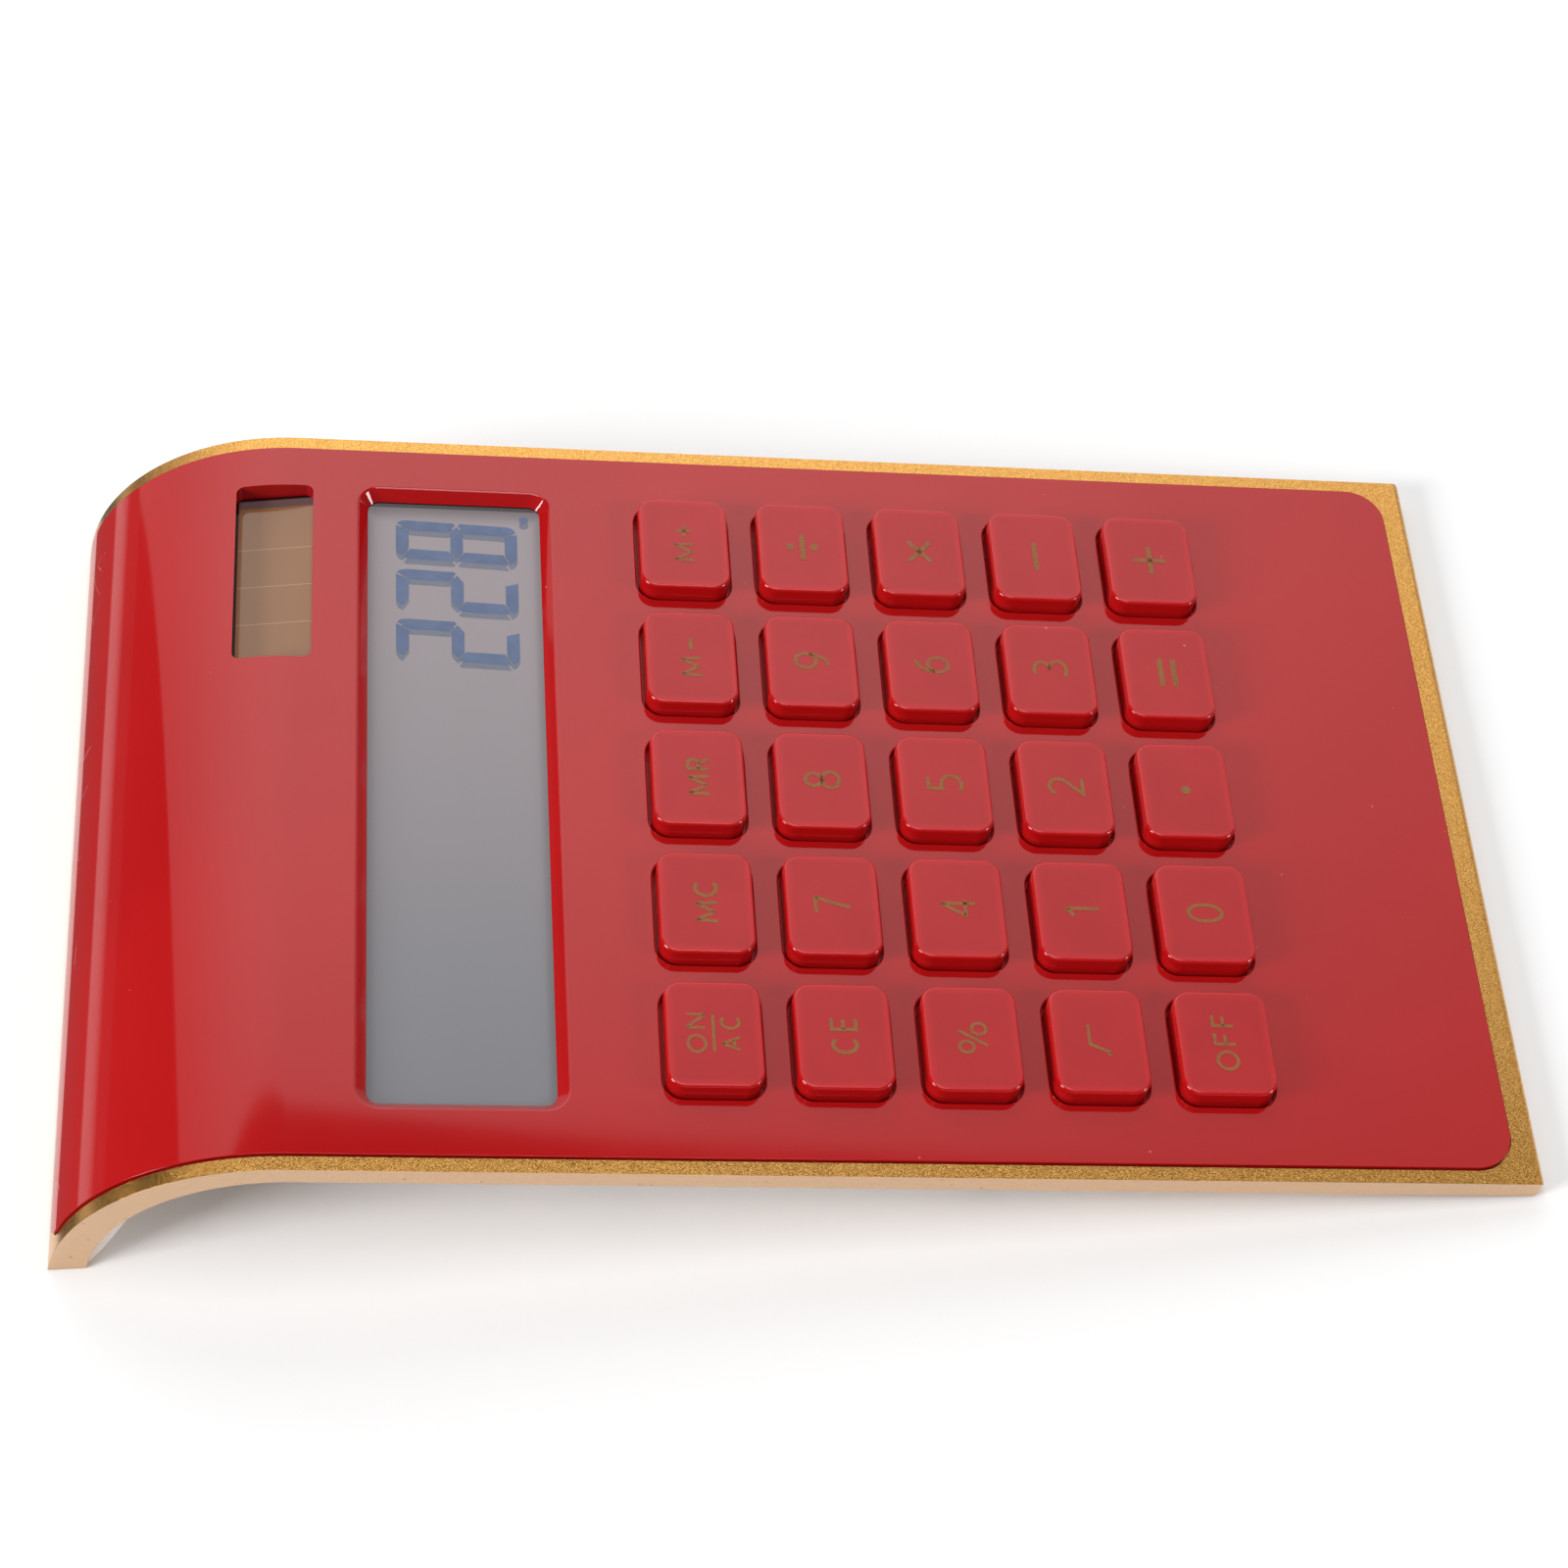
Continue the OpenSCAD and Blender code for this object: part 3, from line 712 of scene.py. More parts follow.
@dataclass(frozen=True)
class DisplayGlass:
    """Grey reflective display with painted light and shade: lighter towards +x, with a painted shadow and a
    painted dark line under the walls of its recess.
    """

    width: float
    length: float
    middle: float
    # Painted light: the lit grey, with the dim grey below as its shaded copy.
    light: Colour = (0.262, 0.226, 0.240)
    dim: Colour = (0.168, 0.172, 0.185)

    def make(self, effects: Effects, face: FaceFrame) -> bpy.types.Material:
        """Builds the material."""
        finish = Finish("display_glass_finish", effects, IOR=1.5)
        board = finish.board
        rows = [finish.along_face(face, row) for row in (0, 1)]
        # Painted light: the grey brightens across the display, from the dim grey at -x to the lit grey.
        across = board.remap(rows[0], -self.width / 2, self.width * 0.42)
        patch = finish.mottle(30.0, 2.0)
        grain = finish.mottle(6000.0, 1.0)
        tint = board.mix(board.sum("MULTIPLY", patch, 0.10), self.dim, self.light)
        colour = board.mix(across, tint, self.light)
        colour = board.mix(board.sum("MULTIPLY", grain, 0.05), colour, (0.20, 0.20, 0.21))
        # Painted shadow under the +x wall and the two long walls of the recess.
        right = board.remap(rows[0], self.width / 2 - 4.2, self.width / 2 - 1.0, 0.0, 0.78)
        top = board.remap(board.sum("ABSOLUTE", board.sum("SUBTRACT", rows[1], self.middle)),
                          self.length / 2 - 1.9, self.length / 2 - 0.9, 0.0, 0.35)
        shadow = board.sum("MAXIMUM", right, top)
        # Painted shade: a near-black line at the foot of the +x wall.
        line = board.remap(rows[0], self.width / 2 - 1.62, self.width / 2 - 1.42)
        colour = board.mix(shadow, colour, (0.065, 0.045, 0.050))
        finish.set("Base_Color", board.mix(line, colour, (0.006, 0.004, 0.004)))
        finish.set("Roughness", board.remap(patch, 0.0, 1.0, 0.055, 0.085))
        return finish.material


@dataclass(frozen=True)
class SegmentInk:
    """Slate blue of the display's segments, or the soft shade they throw."""

    name: str
    colour: Colour
    pale: Colour
    alpha: float

    def make(self, effects: Effects) -> bpy.types.Material:
        """Builds the material."""
        finish = Finish(self.name, effects, Alpha=self.alpha, IOR=1.5)
        board = finish.board
        patch = finish.mottle(500.0, 2.0)
        finish.set("Base_Color", board.mix(patch, self.colour, self.pale))
        finish.set("Roughness", board.remap(patch, 0.0, 1.0, 0.07, 0.10))
        return finish.material


@dataclass(frozen=True)
class SolarGlass:
    """Brown amorphous cell under glass, with thin pale lines between its strips and painted shade at the foot
    of the window's walls.
    """

    seams: tuple[float, ...]
    strip_edge: float
    window: tuple[float, float]
    colour: Colour = (0.250, 0.120, 0.050)
    deep: Colour = (0.238, 0.112, 0.046)

    def make(self, effects: Effects, face: FaceFrame) -> bpy.types.Material:
        """Builds the material."""
        finish = Finish("solar_glass_finish", effects, IOR=1.5)
        board = finish.board
        across = board.dot(finish.where, (1, 0, 0))
        patch = finish.mottle(110.0, 4.0)
        dust = finish.dust(600.0, 0.03)
        colour = board.mix(patch, self.deep, self.colour)
        for seam in self.seams:
            off = board.sum("ABSOLUTE", board.sum("SUBTRACT", across, seam * MM))
            colour = board.mix(board.remap(off, 0.00003, 0.00008, 0.40, 0.0), colour, (0.52, 0.36, 0.24))
        edge = board.remap(across, (self.strip_edge - 0.05) * MM, (self.strip_edge + 0.05) * MM)
        colour = board.mix(edge, colour, (0.125, 0.080, 0.082))
        # Painted shade: a near-black band at the foot of the window's +x and +y walls.
        for row, wall in enumerate(self.window):
            foot = board.remap(finish.along_face(face, row), wall - 0.45, wall - 0.25)
            colour = board.mix(foot, colour, (0.012, 0.004, 0.004))
        finish.set("Base_Color", board.mix(board.sum("MULTIPLY", dust, 0.5), colour, (0.7, 0.6, 0.5)))
        finish.set("Roughness", board.remap(patch, 0.0, 1.0, 0.06, 0.10))
        return finish.material


# ---- sub-assemblies ----


@dataclass(frozen=True)
class Bend:
    """The round turn from the face down into the foot."""

    y: float = 45.5
    radius: float = 25.3
    steps: int = 44

    @property
    def z(self) -> float:
        """Height of the turn's centre."""
        return -self.radius


@dataclass
class KeyPad:
    """The grid that the keys stand in."""

    pitch_x: float = 17.0
    pitch_y: float = 14.2
    width: float = 13.3
    length: float = 10.6
    corner: float = 2.0
    rise: float = 2.2
    gap: float = 0.3
    order: tuple[tuple[str, ...], ...] = (
        ("on_ac", "mc", "mr", "m_minus", "m_plus"),
        ("ce", "7", "8", "9", "divide"),
        ("percent", "4", "5", "6", "multiply"),
        ("root", "1", "2", "3", "minus"),
        ("off", "0", "point", "equals", "plus"),
    )

    def places(self) -> Iterator[tuple[str, float, float]]:
        """Each key's name with its middle on the face."""
        for row, names in enumerate(self.order):
            for column, name in enumerate(names):
                yield name, (column - 2) * self.pitch_x, -row * self.pitch_y


@dataclass
class Shell:
    """The red face, the gold frame round it and the cover below."""

    face: FaceFrame
    pad: KeyPad
    bend: Bend = field(default_factory=Bend)
    panel_w: float = 96.4
    panel_t: float = 1.3
    panel_front: float = 88.4
    panel_end: float = -19.6
    panel_corner: float = 4.4
    body_w: float = 100.0
    front: float = 91.5
    proud: float = 0.3
    edge_drop: float = 2.9
    under: tuple[float, float] = (44.6, -24.7)
    foot: tuple[float, float] = (70.3845, -22.9)
    tilt: float = 7.0
    display: tuple[float, float, float, float] = (85.0, 22.8, 27.0, 2.6)
    display_run: float = 1.2
    solar: tuple[float, float, float, float] = (25.5, 9.0, 29.65, 48.2)
    solar_z: float = -2.6
    solar_lean: float = 10.0

    def _plan(self, width: float, front: float, radius: float) -> Workpiece:
        """A tall block whose user end has round corners, to trim a slab's plan."""
        block = Workpiece.block("plan", (-width / 2, -front, -60), (width / 2, 120, 40))
        return block.round_edges(lambda at, run: abs(run.z) > 0.9 and at.y < 0, radius, 10)

    def _end(self, width: float, low: float, radius: float) -> Workpiece:
        """A long block whose lower corners are round, to trim the bent end."""
        block = Workpiece.block("end", (-width / 2, -150, low), (width / 2, 150, 40))
        return block.round_edges(lambda at, run: abs(run.y) > 0.9 and at.z < 0, radius, 8)

    def _nose(self) -> Workpiece:
        """The outline that rounds the frame's user end, open behind it."""
        low, high = -self.edge_drop - 0.002, -self.proud + 0.002
        nose = Workpiece.block("nose", (-80, -self.front, low), (80, 0, high))
        nose.round_edges(lambda at, run: abs(run.x) > 0.9 and at.y < -1 and at.z < -2, 1.4, 7)
        nose.round_edges(lambda at, run: abs(run.x) > 0.9 and at.y < -1 and at.z > -1, 0.9, 6, 60)
        return nose.weld(Workpiece.block("rest", (-80, -self.front + 4, -60), (80, 120, 40)))

    def _display_cutter(self) -> Workpiece:
        """The recess of the display, with sloping walls."""
        width, length, y, corner = self.display
        cutter = rounded_block("display_cut", width, length, corner, 0.0, 2.0, 0.0, y, 8)
        with cutter.editing():
            cutter.pick_faces(lambda _, normal: normal.z < -0.9)
            bpy.ops.mesh.inset(thickness=self.display_run, depth=self.panel_t)
            bpy.ops.mesh.extrude_region_move(TRANSFORM_OT_translate={"value": (0, 0, -1.5)})
        return cutter

    def red_face(self) -> bpy.types.Object:
        """The red panel with its bend, key holes, display recess and solar window.

        Returns:
            The panel, on the face.
        """
        panel = Workpiece.bent_slab(
            "red_face", self.panel_w - 0.1, 0.0, -self.panel_t, self.panel_front + 5, self.bend, 88)
        panel.trim_to(self._plan(self.panel_w - 0.101, self.panel_front, self.panel_corner))
        panel.trim_to(self._end(self.panel_w - 0.098, self.panel_end, 2.0))
        panel.tidy()
        panel.round_edges(
            lambda at, _: abs(at.x) > self.panel_w / 2 - 4.5
            or at.y < -self.panel_front + 4.5
            or at.z < self.panel_end + 2.2, 0.22, 3)
        width, length, x, y = self.solar
        collar = rounded_block("collar", width + 2.4, length + 0.7, 1.0, -2.55, -1.1, x, y, 6)
        collar.lean(self.solar_lean, y, self.solar_z)
        panel.weld(collar)
        panel.cut(self._display_cutter())
        panel.cut(rounded_block("window", width, length, 0.9, -8, 3, x, y, 6))
        pad = self.pad
        holes = [
            rounded_block(f"hole_{name}", pad.width + 2 * pad.gap, pad.length + 2 * pad.gap,
                          pad.corner + pad.gap, -5, 3, hole_x, hole_y, 8)
            for name, hole_x, hole_y in pad.places()
        ]
        panel.cut(holes[0].gather(holes[1:]))
        panel.tidy()
        wide, long, middle, _ = self.display
        openings = ((wide, long, 0.0, middle, -0.05, 0.22), (width, length, x, y, -0.75, 0.30))
        for across, along, mid_x, mid_y, floor, radius in openings:
            panel.round_edges(
                lambda at, _: at.z > floor
                and abs(at.x - mid_x) < across / 2 + 0.2
                and abs(at.y - mid_y) < along / 2 + 0.2, radius, 3, 20)
        panel.round_edges(lambda at, _: abs(at.z) < 0.01 and abs(at.x) < 42 and -65 < at.y < 8, 0.22, 3, 20)
        return panel.smooth().set_on(self.face)

    def gold_frame(self) -> bpy.types.Object:
        """The gold frame: a thin edge that turns down into the foot.

        Returns:
            The frame, on the face.
        """
        radius = self.bend.radius
        gold = Workpiece.bent_slab("gold_rim", self.body_w, -self.proud, -9.0, self.front + 5, self.bend, 110)
        gold.trim_to(self._plan(self.body_w - 0.001, self.front, 0.7))
        gold.cut(Workpiece.block("under", (-80, -150, -60), (80, self.under[0], -self.edge_drop)))
        drum = Workpiece.drum("hollow", 160, self.under[0], self.under[1], -self.edge_drop - self.under[1])
        gold.cut(drum)
        slope = math.radians(self.tilt)
        gold.slice_off((0, self.foot[0], self.foot[1]), (0, -math.sin(slope), -math.cos(slope)))
        gold.tidy()
        gold.trim_to(self._nose())
        gold.round_edges(
            lambda at, _: abs(at.x) > self.body_w / 2 - 2.1 or at.y < -self.front + 2.1, 0.42, 4, 35)
        pocket = Workpiece.bent_slab(
            "pocket", self.panel_w + 0.3, 4.0, -self.panel_t - 0.05, self.panel_front + 5, self.bend, 88)
        pocket.trim_to(self._plan(self.panel_w + 0.299, self.panel_front + 0.15, self.panel_corner + 0.15))
        pocket.trim_to(self._end(self.panel_w + 0.302, self.panel_end - 0.15, 2.15))
        gold.cut(pocket)
        gold.cut(Workpiece.block("opening", (-46.2, -self.front + 6, -30), (46.2, 56, 10)))
        bay = Workpiece.drum("bay", self.panel_w, self.bend.y, self.bend.z, radius - 2.4)
        bay.slice_off((0, 0, self.panel_end - 0.1), (0, 0, -1))
        bay.slice_off((0, self.bend.y, 0), (0, -1, 0))
        gold.cut(bay)
        return gold.tidy().smooth(35).set_on(self.face)


@dataclass
class Keys:
    """The twenty-five keys with their printed legends."""

    face: FaceFrame
    pad: KeyPad
    edge: float = 0.36
    flange: float = 0.6
    flange_top: float = -1.4
    flange_t: float = 0.5

    def blank(self) -> Workpiece:
        """One key: round corners, a soft top edge and the flange that stops it."""
        pad = self.pad
        key = rounded_block(
            "key_blank", pad.width, pad.length, pad.corner, self.flange_top, pad.rise, segments=10)
        key.round_edges(lambda at, _: at.z > pad.rise - 0.01, self.edge, 4)
        with key.editing():
            key.pick_faces(lambda at, normal: normal.z < -0.9)
            bpy.ops.mesh.extrude_region_move(TRANSFORM_OT_translate={"value": (0, 0, 0)})
            grow = (1 + 2 * self.flange / pad.width, 1 + 2 * self.flange / pad.length, 1)
            bpy.ops.transform.resize(value=grow, center_override=(0, 0, self.flange_top))
            bpy.ops.mesh.extrude_region_move(TRANSFORM_OT_translate={"value": (0, 0, -self.flange_t)})
        return key.smooth(40)

    def build(self, material: bpy.types.Material, ink: bpy.types.Material) -> None:
        """Copies the key to every place, prints its legend and sets it on its body."""
        blank = self.blank()
        legends = Legends(self.pad.rise)
        for name, x, y in self.pad.places():
            key = blank.twin(f"cap_{name}", (x, y, 0)).set_on(self.face)
            dress(key, material, f"key_{name}")
            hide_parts(f"key_{name}")
            print_ = legends.draw(name, x, y).set_on(self.face)
            dress(print_, ink, f"key_{name}")
        blank.discard()


def dress(piece: bpy.types.Object, material: bpy.types.Material, body: str) -> None:
    """Gives a piece its material and its body."""
    piece.data.materials.clear()
    piece.data.materials.append(material)
    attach(piece, body)
    LOG.info("%s: %d faces, on %s", piece.name, len(piece.data.polygons), body)


def arc(
    x: float, y: float, rx: float, ry: float, start: float, end: float, steps: int = 12
) -> list[tuple[float, float]]:
    """Points of an arc of an ellipse, with angles in degrees from the right."""
    angles = [math.radians(start + (end - start) * i / steps) for i in range(steps + 1)]
    return [(x + rx * math.cos(a), y + ry * math.sin(a)) for a in angles]


Stroke = list[tuple[float, float]]


class Legends:
    """Thin rounded legends, drawn as pen strokes in millimetres about the key's middle."""

    SIGNS: dict[str, list[Stroke]] = {
        "0": [arc(0.5, 0.5, 0.5, 0.5, 90, 450, 28)],
        "1": [[(0.60, 0), (0.60, 1)], [(0.60, 0.97), (0.36, 0.84), (0.12, 0.79)]],
        "2": [arc(0.5, 0.70, 0.48, 0.30, 155, -25, 12) + [(0.05, 0), (1, 0)]],
        "3": [arc(0.42, 0.755, 0.50, 0.245, 130, -90, 12), arc(0.42, 0.265, 0.58, 0.265, 90, -135, 14)],
        "4": [[(0.74, 0), (0.74, 1)], [(0.74, 1), (0.02, 0.30)], [(-0.05, 0.30), (1, 0.30)]],
        "5": [[(0.88, 1), (0.18, 1), (0.14, 0.58)] + arc(0.40, 0.31, 0.58, 0.31, 105, -130, 14)],
        "6": [arc(0.5, 0.31, 0.48, 0.31, 150, 510, 24),
              [(0.05, 0.42), (0.14, 0.66), (0.36, 0.88), (0.78, 1)]],
        "7": [[(0, 1), (1, 1)], [(0.94, 1), (0.60, 0.52), (0.36, 0)]],
        "8": [arc(0.5, 0.76, 0.40, 0.24, 90, 450, 22), arc(0.5, 0.26, 0.50, 0.26, 90, 450, 24)],
        "9": [arc(0.5, 0.69, 0.48, 0.31, -30, 330, 24),
              [(0.95, 0.58), (0.86, 0.34), (0.64, 0.12), (0.22, 0)]],
        "A": [[(0, 0), (0.5, 1)], [(0.5, 1), (1, 0)], [(0.18, 0.33), (0.82, 0.33)]],
        "C": [arc(0.56, 0.5, 0.56, 0.5, 48, 312, 18)],
        "E": [[(1, 1), (0, 1), (0, 0), (1, 0)], [(0, 0.52), (0.88, 0.52)]],
        "F": [[(1, 1), (0, 1), (0, 0)], [(0, 0.50), (0.88, 0.50)]],
        "M": [[(0, 0), (0.06, 1)], [(0.06, 1), (0.5, 0.15)], [(0.5, 0.15), (0.94, 1)], [(0.94, 1), (1, 0)]],
        "N": [[(0, 0), (0, 1)], [(0.03, 1), (0.97, 0)], [(1, 0), (1, 1)]],
        "O": [arc(0.5, 0.5, 0.5, 0.5, 90, 450, 26)],
        "R": [[(0, 0), (0, 1)] + arc(0.50, 0.74, 0.40, 0.26, 90, -90, 10) + [(0, 0.48)],
              [(0.48, 0.48), (1, 0)]],
        "-": [[(0, 0.5), (1, 0.5)]],
        "+": [[(0, 0.5), (1, 0.5)], [(0.5, 0), (0.5, 1)]],
    }
    PENS: dict[str, float] = {
        "on_ac": 0.34, "m_plus": 0.40, "m_minus": 0.40, "off": 0.38, "root": 0.38, "percent": 0.36,
        "equals": 0.66, "minus": 0.58, "plus": 0.58, "multiply": 0.58, "divide": 0.58,
    }

    def __init__(self, height: float, pen: float = 0.44, thickness: float = 0.03) -> None:
        """Sets the height that the legends lie at and the pen."""
        self.height = height
        self.pen = pen
        self.thickness = thickness

    def glyph(self, sign: str, width: float, height: float) -> list[Stroke]:
        """Strokes of a sign, stretched from a unit cell to a width and height."""
        return [[(x * width, y * height) for x, y in stroke] for stroke in self.SIGNS[sign]]

    def word(self, signs: str, widths: Sequence[float], gap: float, h: float, y: float = 0.0) -> list[Stroke]:
        """Strokes of a row of signs, centred on the key."""
        x = -(sum(widths) + gap * (len(widths) - 1)) / 2
        strokes: list[Stroke] = []
        for sign, w in zip(signs, widths):
            tall = h if sign not in "-+" else 0.76 * h
            for stroke in self.glyph(sign, w, tall):
                strokes.append([(x + px, y - tall / 2 + py) for px, py in stroke])
            x += w + gap
        return strokes

    def strokes(self, name: str) -> list[Stroke]:
        """All strokes of a key's legend."""
        made: dict[str, Callable[[], list[Stroke]]] = {
            "on_ac": lambda: self.word("ON", (2.05, 1.65), 1.0, 1.95, 1.98) + [[(-2.3, 0.10), (2.3, 0.10)]]
            + self.word("AC", (1.6, 1.45), 1.1, 1.95, -1.78),
            "mc": lambda: self.word("MC", (2.45, 1.8), 0.90, 2.35),
            "mr": lambda: self.word("MR", (2.45, 1.45), 1.0, 2.35),
            "m_minus": lambda: self.word("M-", (2.5, 1.75), 1.1, 2.35),
            "m_plus": lambda: self.word("M+", (2.5, 1.75), 1.1, 2.35),
            "ce": lambda: self.word("CE", (1.72, 1.4), 1.2, 2.65),
            "off": lambda: self.word("OFF", (2.2, 1.35, 1.35), 1.0, 2.3),
            "divide": lambda: [[(-1.95, 0), (1.95, 0)]],
            "multiply": lambda: [[(-1.5, -1.35), (1.5, 1.35)], [(-1.5, 1.35), (1.5, -1.35)]],
            "minus": lambda: [[(-2.1, 0), (2.1, 0)]],
            "equals": lambda: [[(-2.0, 0.8), (2.0, 0.8)], [(-2.0, -0.8), (2.0, -0.8)]],
            "plus": lambda: [[(-2.1, 0), (2.1, 0)], [(0, -2.05), (0, 2.05)]],
            "percent": lambda: [arc(-1.15, 0.75, 0.72, 0.80, 90, 450, 18),
                                arc(1.15, -0.75, 0.72, 0.80, 90, 450, 18),
                                [(-0.95, -1.6), (0.95, 1.6)]],
            "root": lambda: [[(-1.95, -0.80), (-1.55, -1.15)], [(-1.62, -1.2), (-0.55, 1.15), (1.95, 1.15)]],
        }
        if name in made:
            return made[name]()
        return [] if name == "point" else self.word(name, (2.2,), 0.0, 3.9)

    def _ribbon(self, name: str, stroke: Stroke, pen: float) -> Workpiece:
        """One flat stroke with a little height.

        Args:
            name: The piece's name.
            stroke: The line that the pen follows.
            pen: The pen's width.

        Returns:
            The ribbon, closed and a little raised.
        """
        ribbon = Workpiece.trace(name, stroke, self.height)
        with ribbon.editing("VERT", whole=True):
            bpy.ops.mesh.extrude_region_move(TRANSFORM_OT_translate={"value": (0, 0, self.thickness)})
        take(ribbon.obj)
        wall = ribbon.obj.modifiers.new("wall", "SOLIDIFY")
        wall.thickness = pen
        wall.offset = 0.0
        wall.use_even_offset = True
        bpy.ops.object.modifier_apply(modifier=wall.name)
        return ribbon

    def draw(self, name: str, x: float, y: float) -> Workpiece:
        """The whole legend of a key as one piece."""
        pen = self.PENS.get(name, self.pen)
        parts = [self._ribbon(f"print_{name}", stroke, pen) for stroke in self.strokes(name)]
        dots = {"point": [(0.60, 0.0)], "divide": [(0.50, -1.45), (0.50, 1.45)]}
        parts += [
            Workpiece.disc("dot", radius, 0, side, self.height, self.height + self.thickness)
            for radius, side in dots.get(name, [])
        ]
        for part in parts:
            part.round_edges(lambda at, run: abs(run.z) > 0.9, pen * 0.3, 2, 60)
        legend = parts[0].gather(parts[1:])
        legend.obj.location = (x, y, 0)
        return Workpiece(legend.obj, f"print_{name}")


class Segment(Enum):
    """The seven bars of a digit, each as its corner points in millimetres."""

    TOP = ((1.58, 12.85), (4.15, 12.85), (5.02, 14.35), (1.45, 14.35), (0.80, 14.10), (0.38, 13.58))
    TOP_LEFT = ((0.0, 13.2), (0.0, 7.58), (0.26, 7.32), (1.46, 8.14), (1.46, 12.68), (0.16, 13.44))
    TOP_RIGHT = (
        (4.34, 12.72), (4.34, 8.12), (5.52, 7.32), (5.78, 7.58), (5.78, 13.1), (5.62, 13.85), (5.24, 14.24))
    MIDDLE = ((0.52, 7.18), (1.50, 6.43), (4.28, 6.43), (5.32, 7.18), (4.28, 7.92), (1.50, 7.92))
    LOW_LEFT = ((0.0, 1.00), (1.46, 1.66), (1.46, 6.22), (0.26, 7.04), (0.0, 6.78))
    LOW_RIGHT = (
        (4.34, 1.56), (4.92, 0.14), (5.40, 0.34), (5.70, 0.82), (5.78, 1.4), (5.78, 6.78), (5.52, 7.04),
        (4.34, 6.24))
    BOTTOM = ((0.14, 0.78), (0.50, 0.28), (1.15, 0.0), (4.72, 0.0), (4.18, 1.48), (1.56, 1.48))


TWO = (Segment.TOP, Segment.TOP_RIGHT, Segment.MIDDLE, Segment.LOW_LEFT, Segment.BOTTOM)
EIGHT = tuple(Segment)


@dataclass
class Display:
    """The grey display with its dark digits."""

    face: FaceFrame
    width: float = 84.4
    length: float = 22.0
    middle: float = 27.0
    top: float = -1.4
    digits: tuple[tuple[tuple[Segment, ...], float], ...] = ((TWO, 17.6), (TWO, 25.0), (EIGHT, 32.4))
    base: float = 19.55
    slant: float = 0.043
    shade_shift: float = -0.85

    def _bar(self, segment: Segment, x: float, low: float, high: float) -> Workpiece:
        """One bar of a digit: a flat outline pulled up into a thin plate.

        Args:
            segment: Which bar.
            x: Left side of the digit.
            low: Height of the underside.
            high: Height of the upper side.

        Returns:
            The bar.
        """
        corners = [(x + px + self.slant * py, self.base + py) for px, py in segment.value]
        bar = Workpiece.trace("bar", corners + corners[:1], low)
        with bar.editing("VERT", whole=True):
            bpy.ops.mesh.edge_face_add()
            bpy.ops.mesh.extrude_region_move(TRANSFORM_OT_translate={"value": (0, 0, high - low)})
            bpy.ops.mesh.select_all(action="SELECT")
            bpy.ops.mesh.normals_make_consistent(inside=False)
        return bar

    def _figures(self, name: str, shift: float, low: float, high: float) -> Workpiece:
        """All lit bars and the point, joined as one print."""
        bars = [self._bar(segment, x + shift, low, high) for lit, x in self.digits for segment in lit]
        bars.append(Workpiece.disc("point", 0.56, 39.4 + shift, self.base - 0.85, low, high, 20))
        figures = bars[0].gather(bars[1:])
        return Workpiece(figures.obj, name)

    def build(self, glass: bpy.types.Material, ink: bpy.types.Material, shade: bpy.types.Material) -> None:
        """Makes the display sheet, the digits and the shade under them."""
        sheet = rounded_block(
            "display_sheet", self.width, self.length, 0.5, self.top - 0.2, self.top, 0, self.middle, 4)
        sheet.round_edges(lambda at, _: at.z > self.top - 0.01, 0.06, 2)
        piece = sheet.smooth().set_on(self.face)
        dress(piece, glass, "housing")
        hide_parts("lcd_polariser")
        layers = (("digit_shade", self.shade_shift, 0.004, 0.008, shade), ("digits", 0.0, 0.014, 0.022, ink))
        for name, shift, low, high, material in layers:
            layer = self._figures(name, shift, self.top + low, self.top + high).set_on(self.face)
            dress(layer, material, "housing")


@dataclass
class SolarCell:
    """The solar cell under its window."""

    face: FaceFrame
    width: float = 27.6
    length: float = 9.6
    x: float = 29.65
    y: float = 48.2
    top: float = -2.6
    thickness: float = 1.1
    lean: float = 10.0

    def build(self, glass: bpy.types.Material) -> None:
        """Makes the glass plate of the cell."""
        low = self.top - self.thickness
        plate = rounded_block("cell_plate", self.width, self.length, 0.3, low, self.top, self.x, self.y, 3)
        plate.round_edges(lambda at, _: at.z > self.top - 0.01, 0.1, 2)
        plate.lean(self.lean, self.y, self.top)
        piece = plate.smooth().set_on(self.face)
        dress(piece, glass, "housing")
        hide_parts("solar_cell")


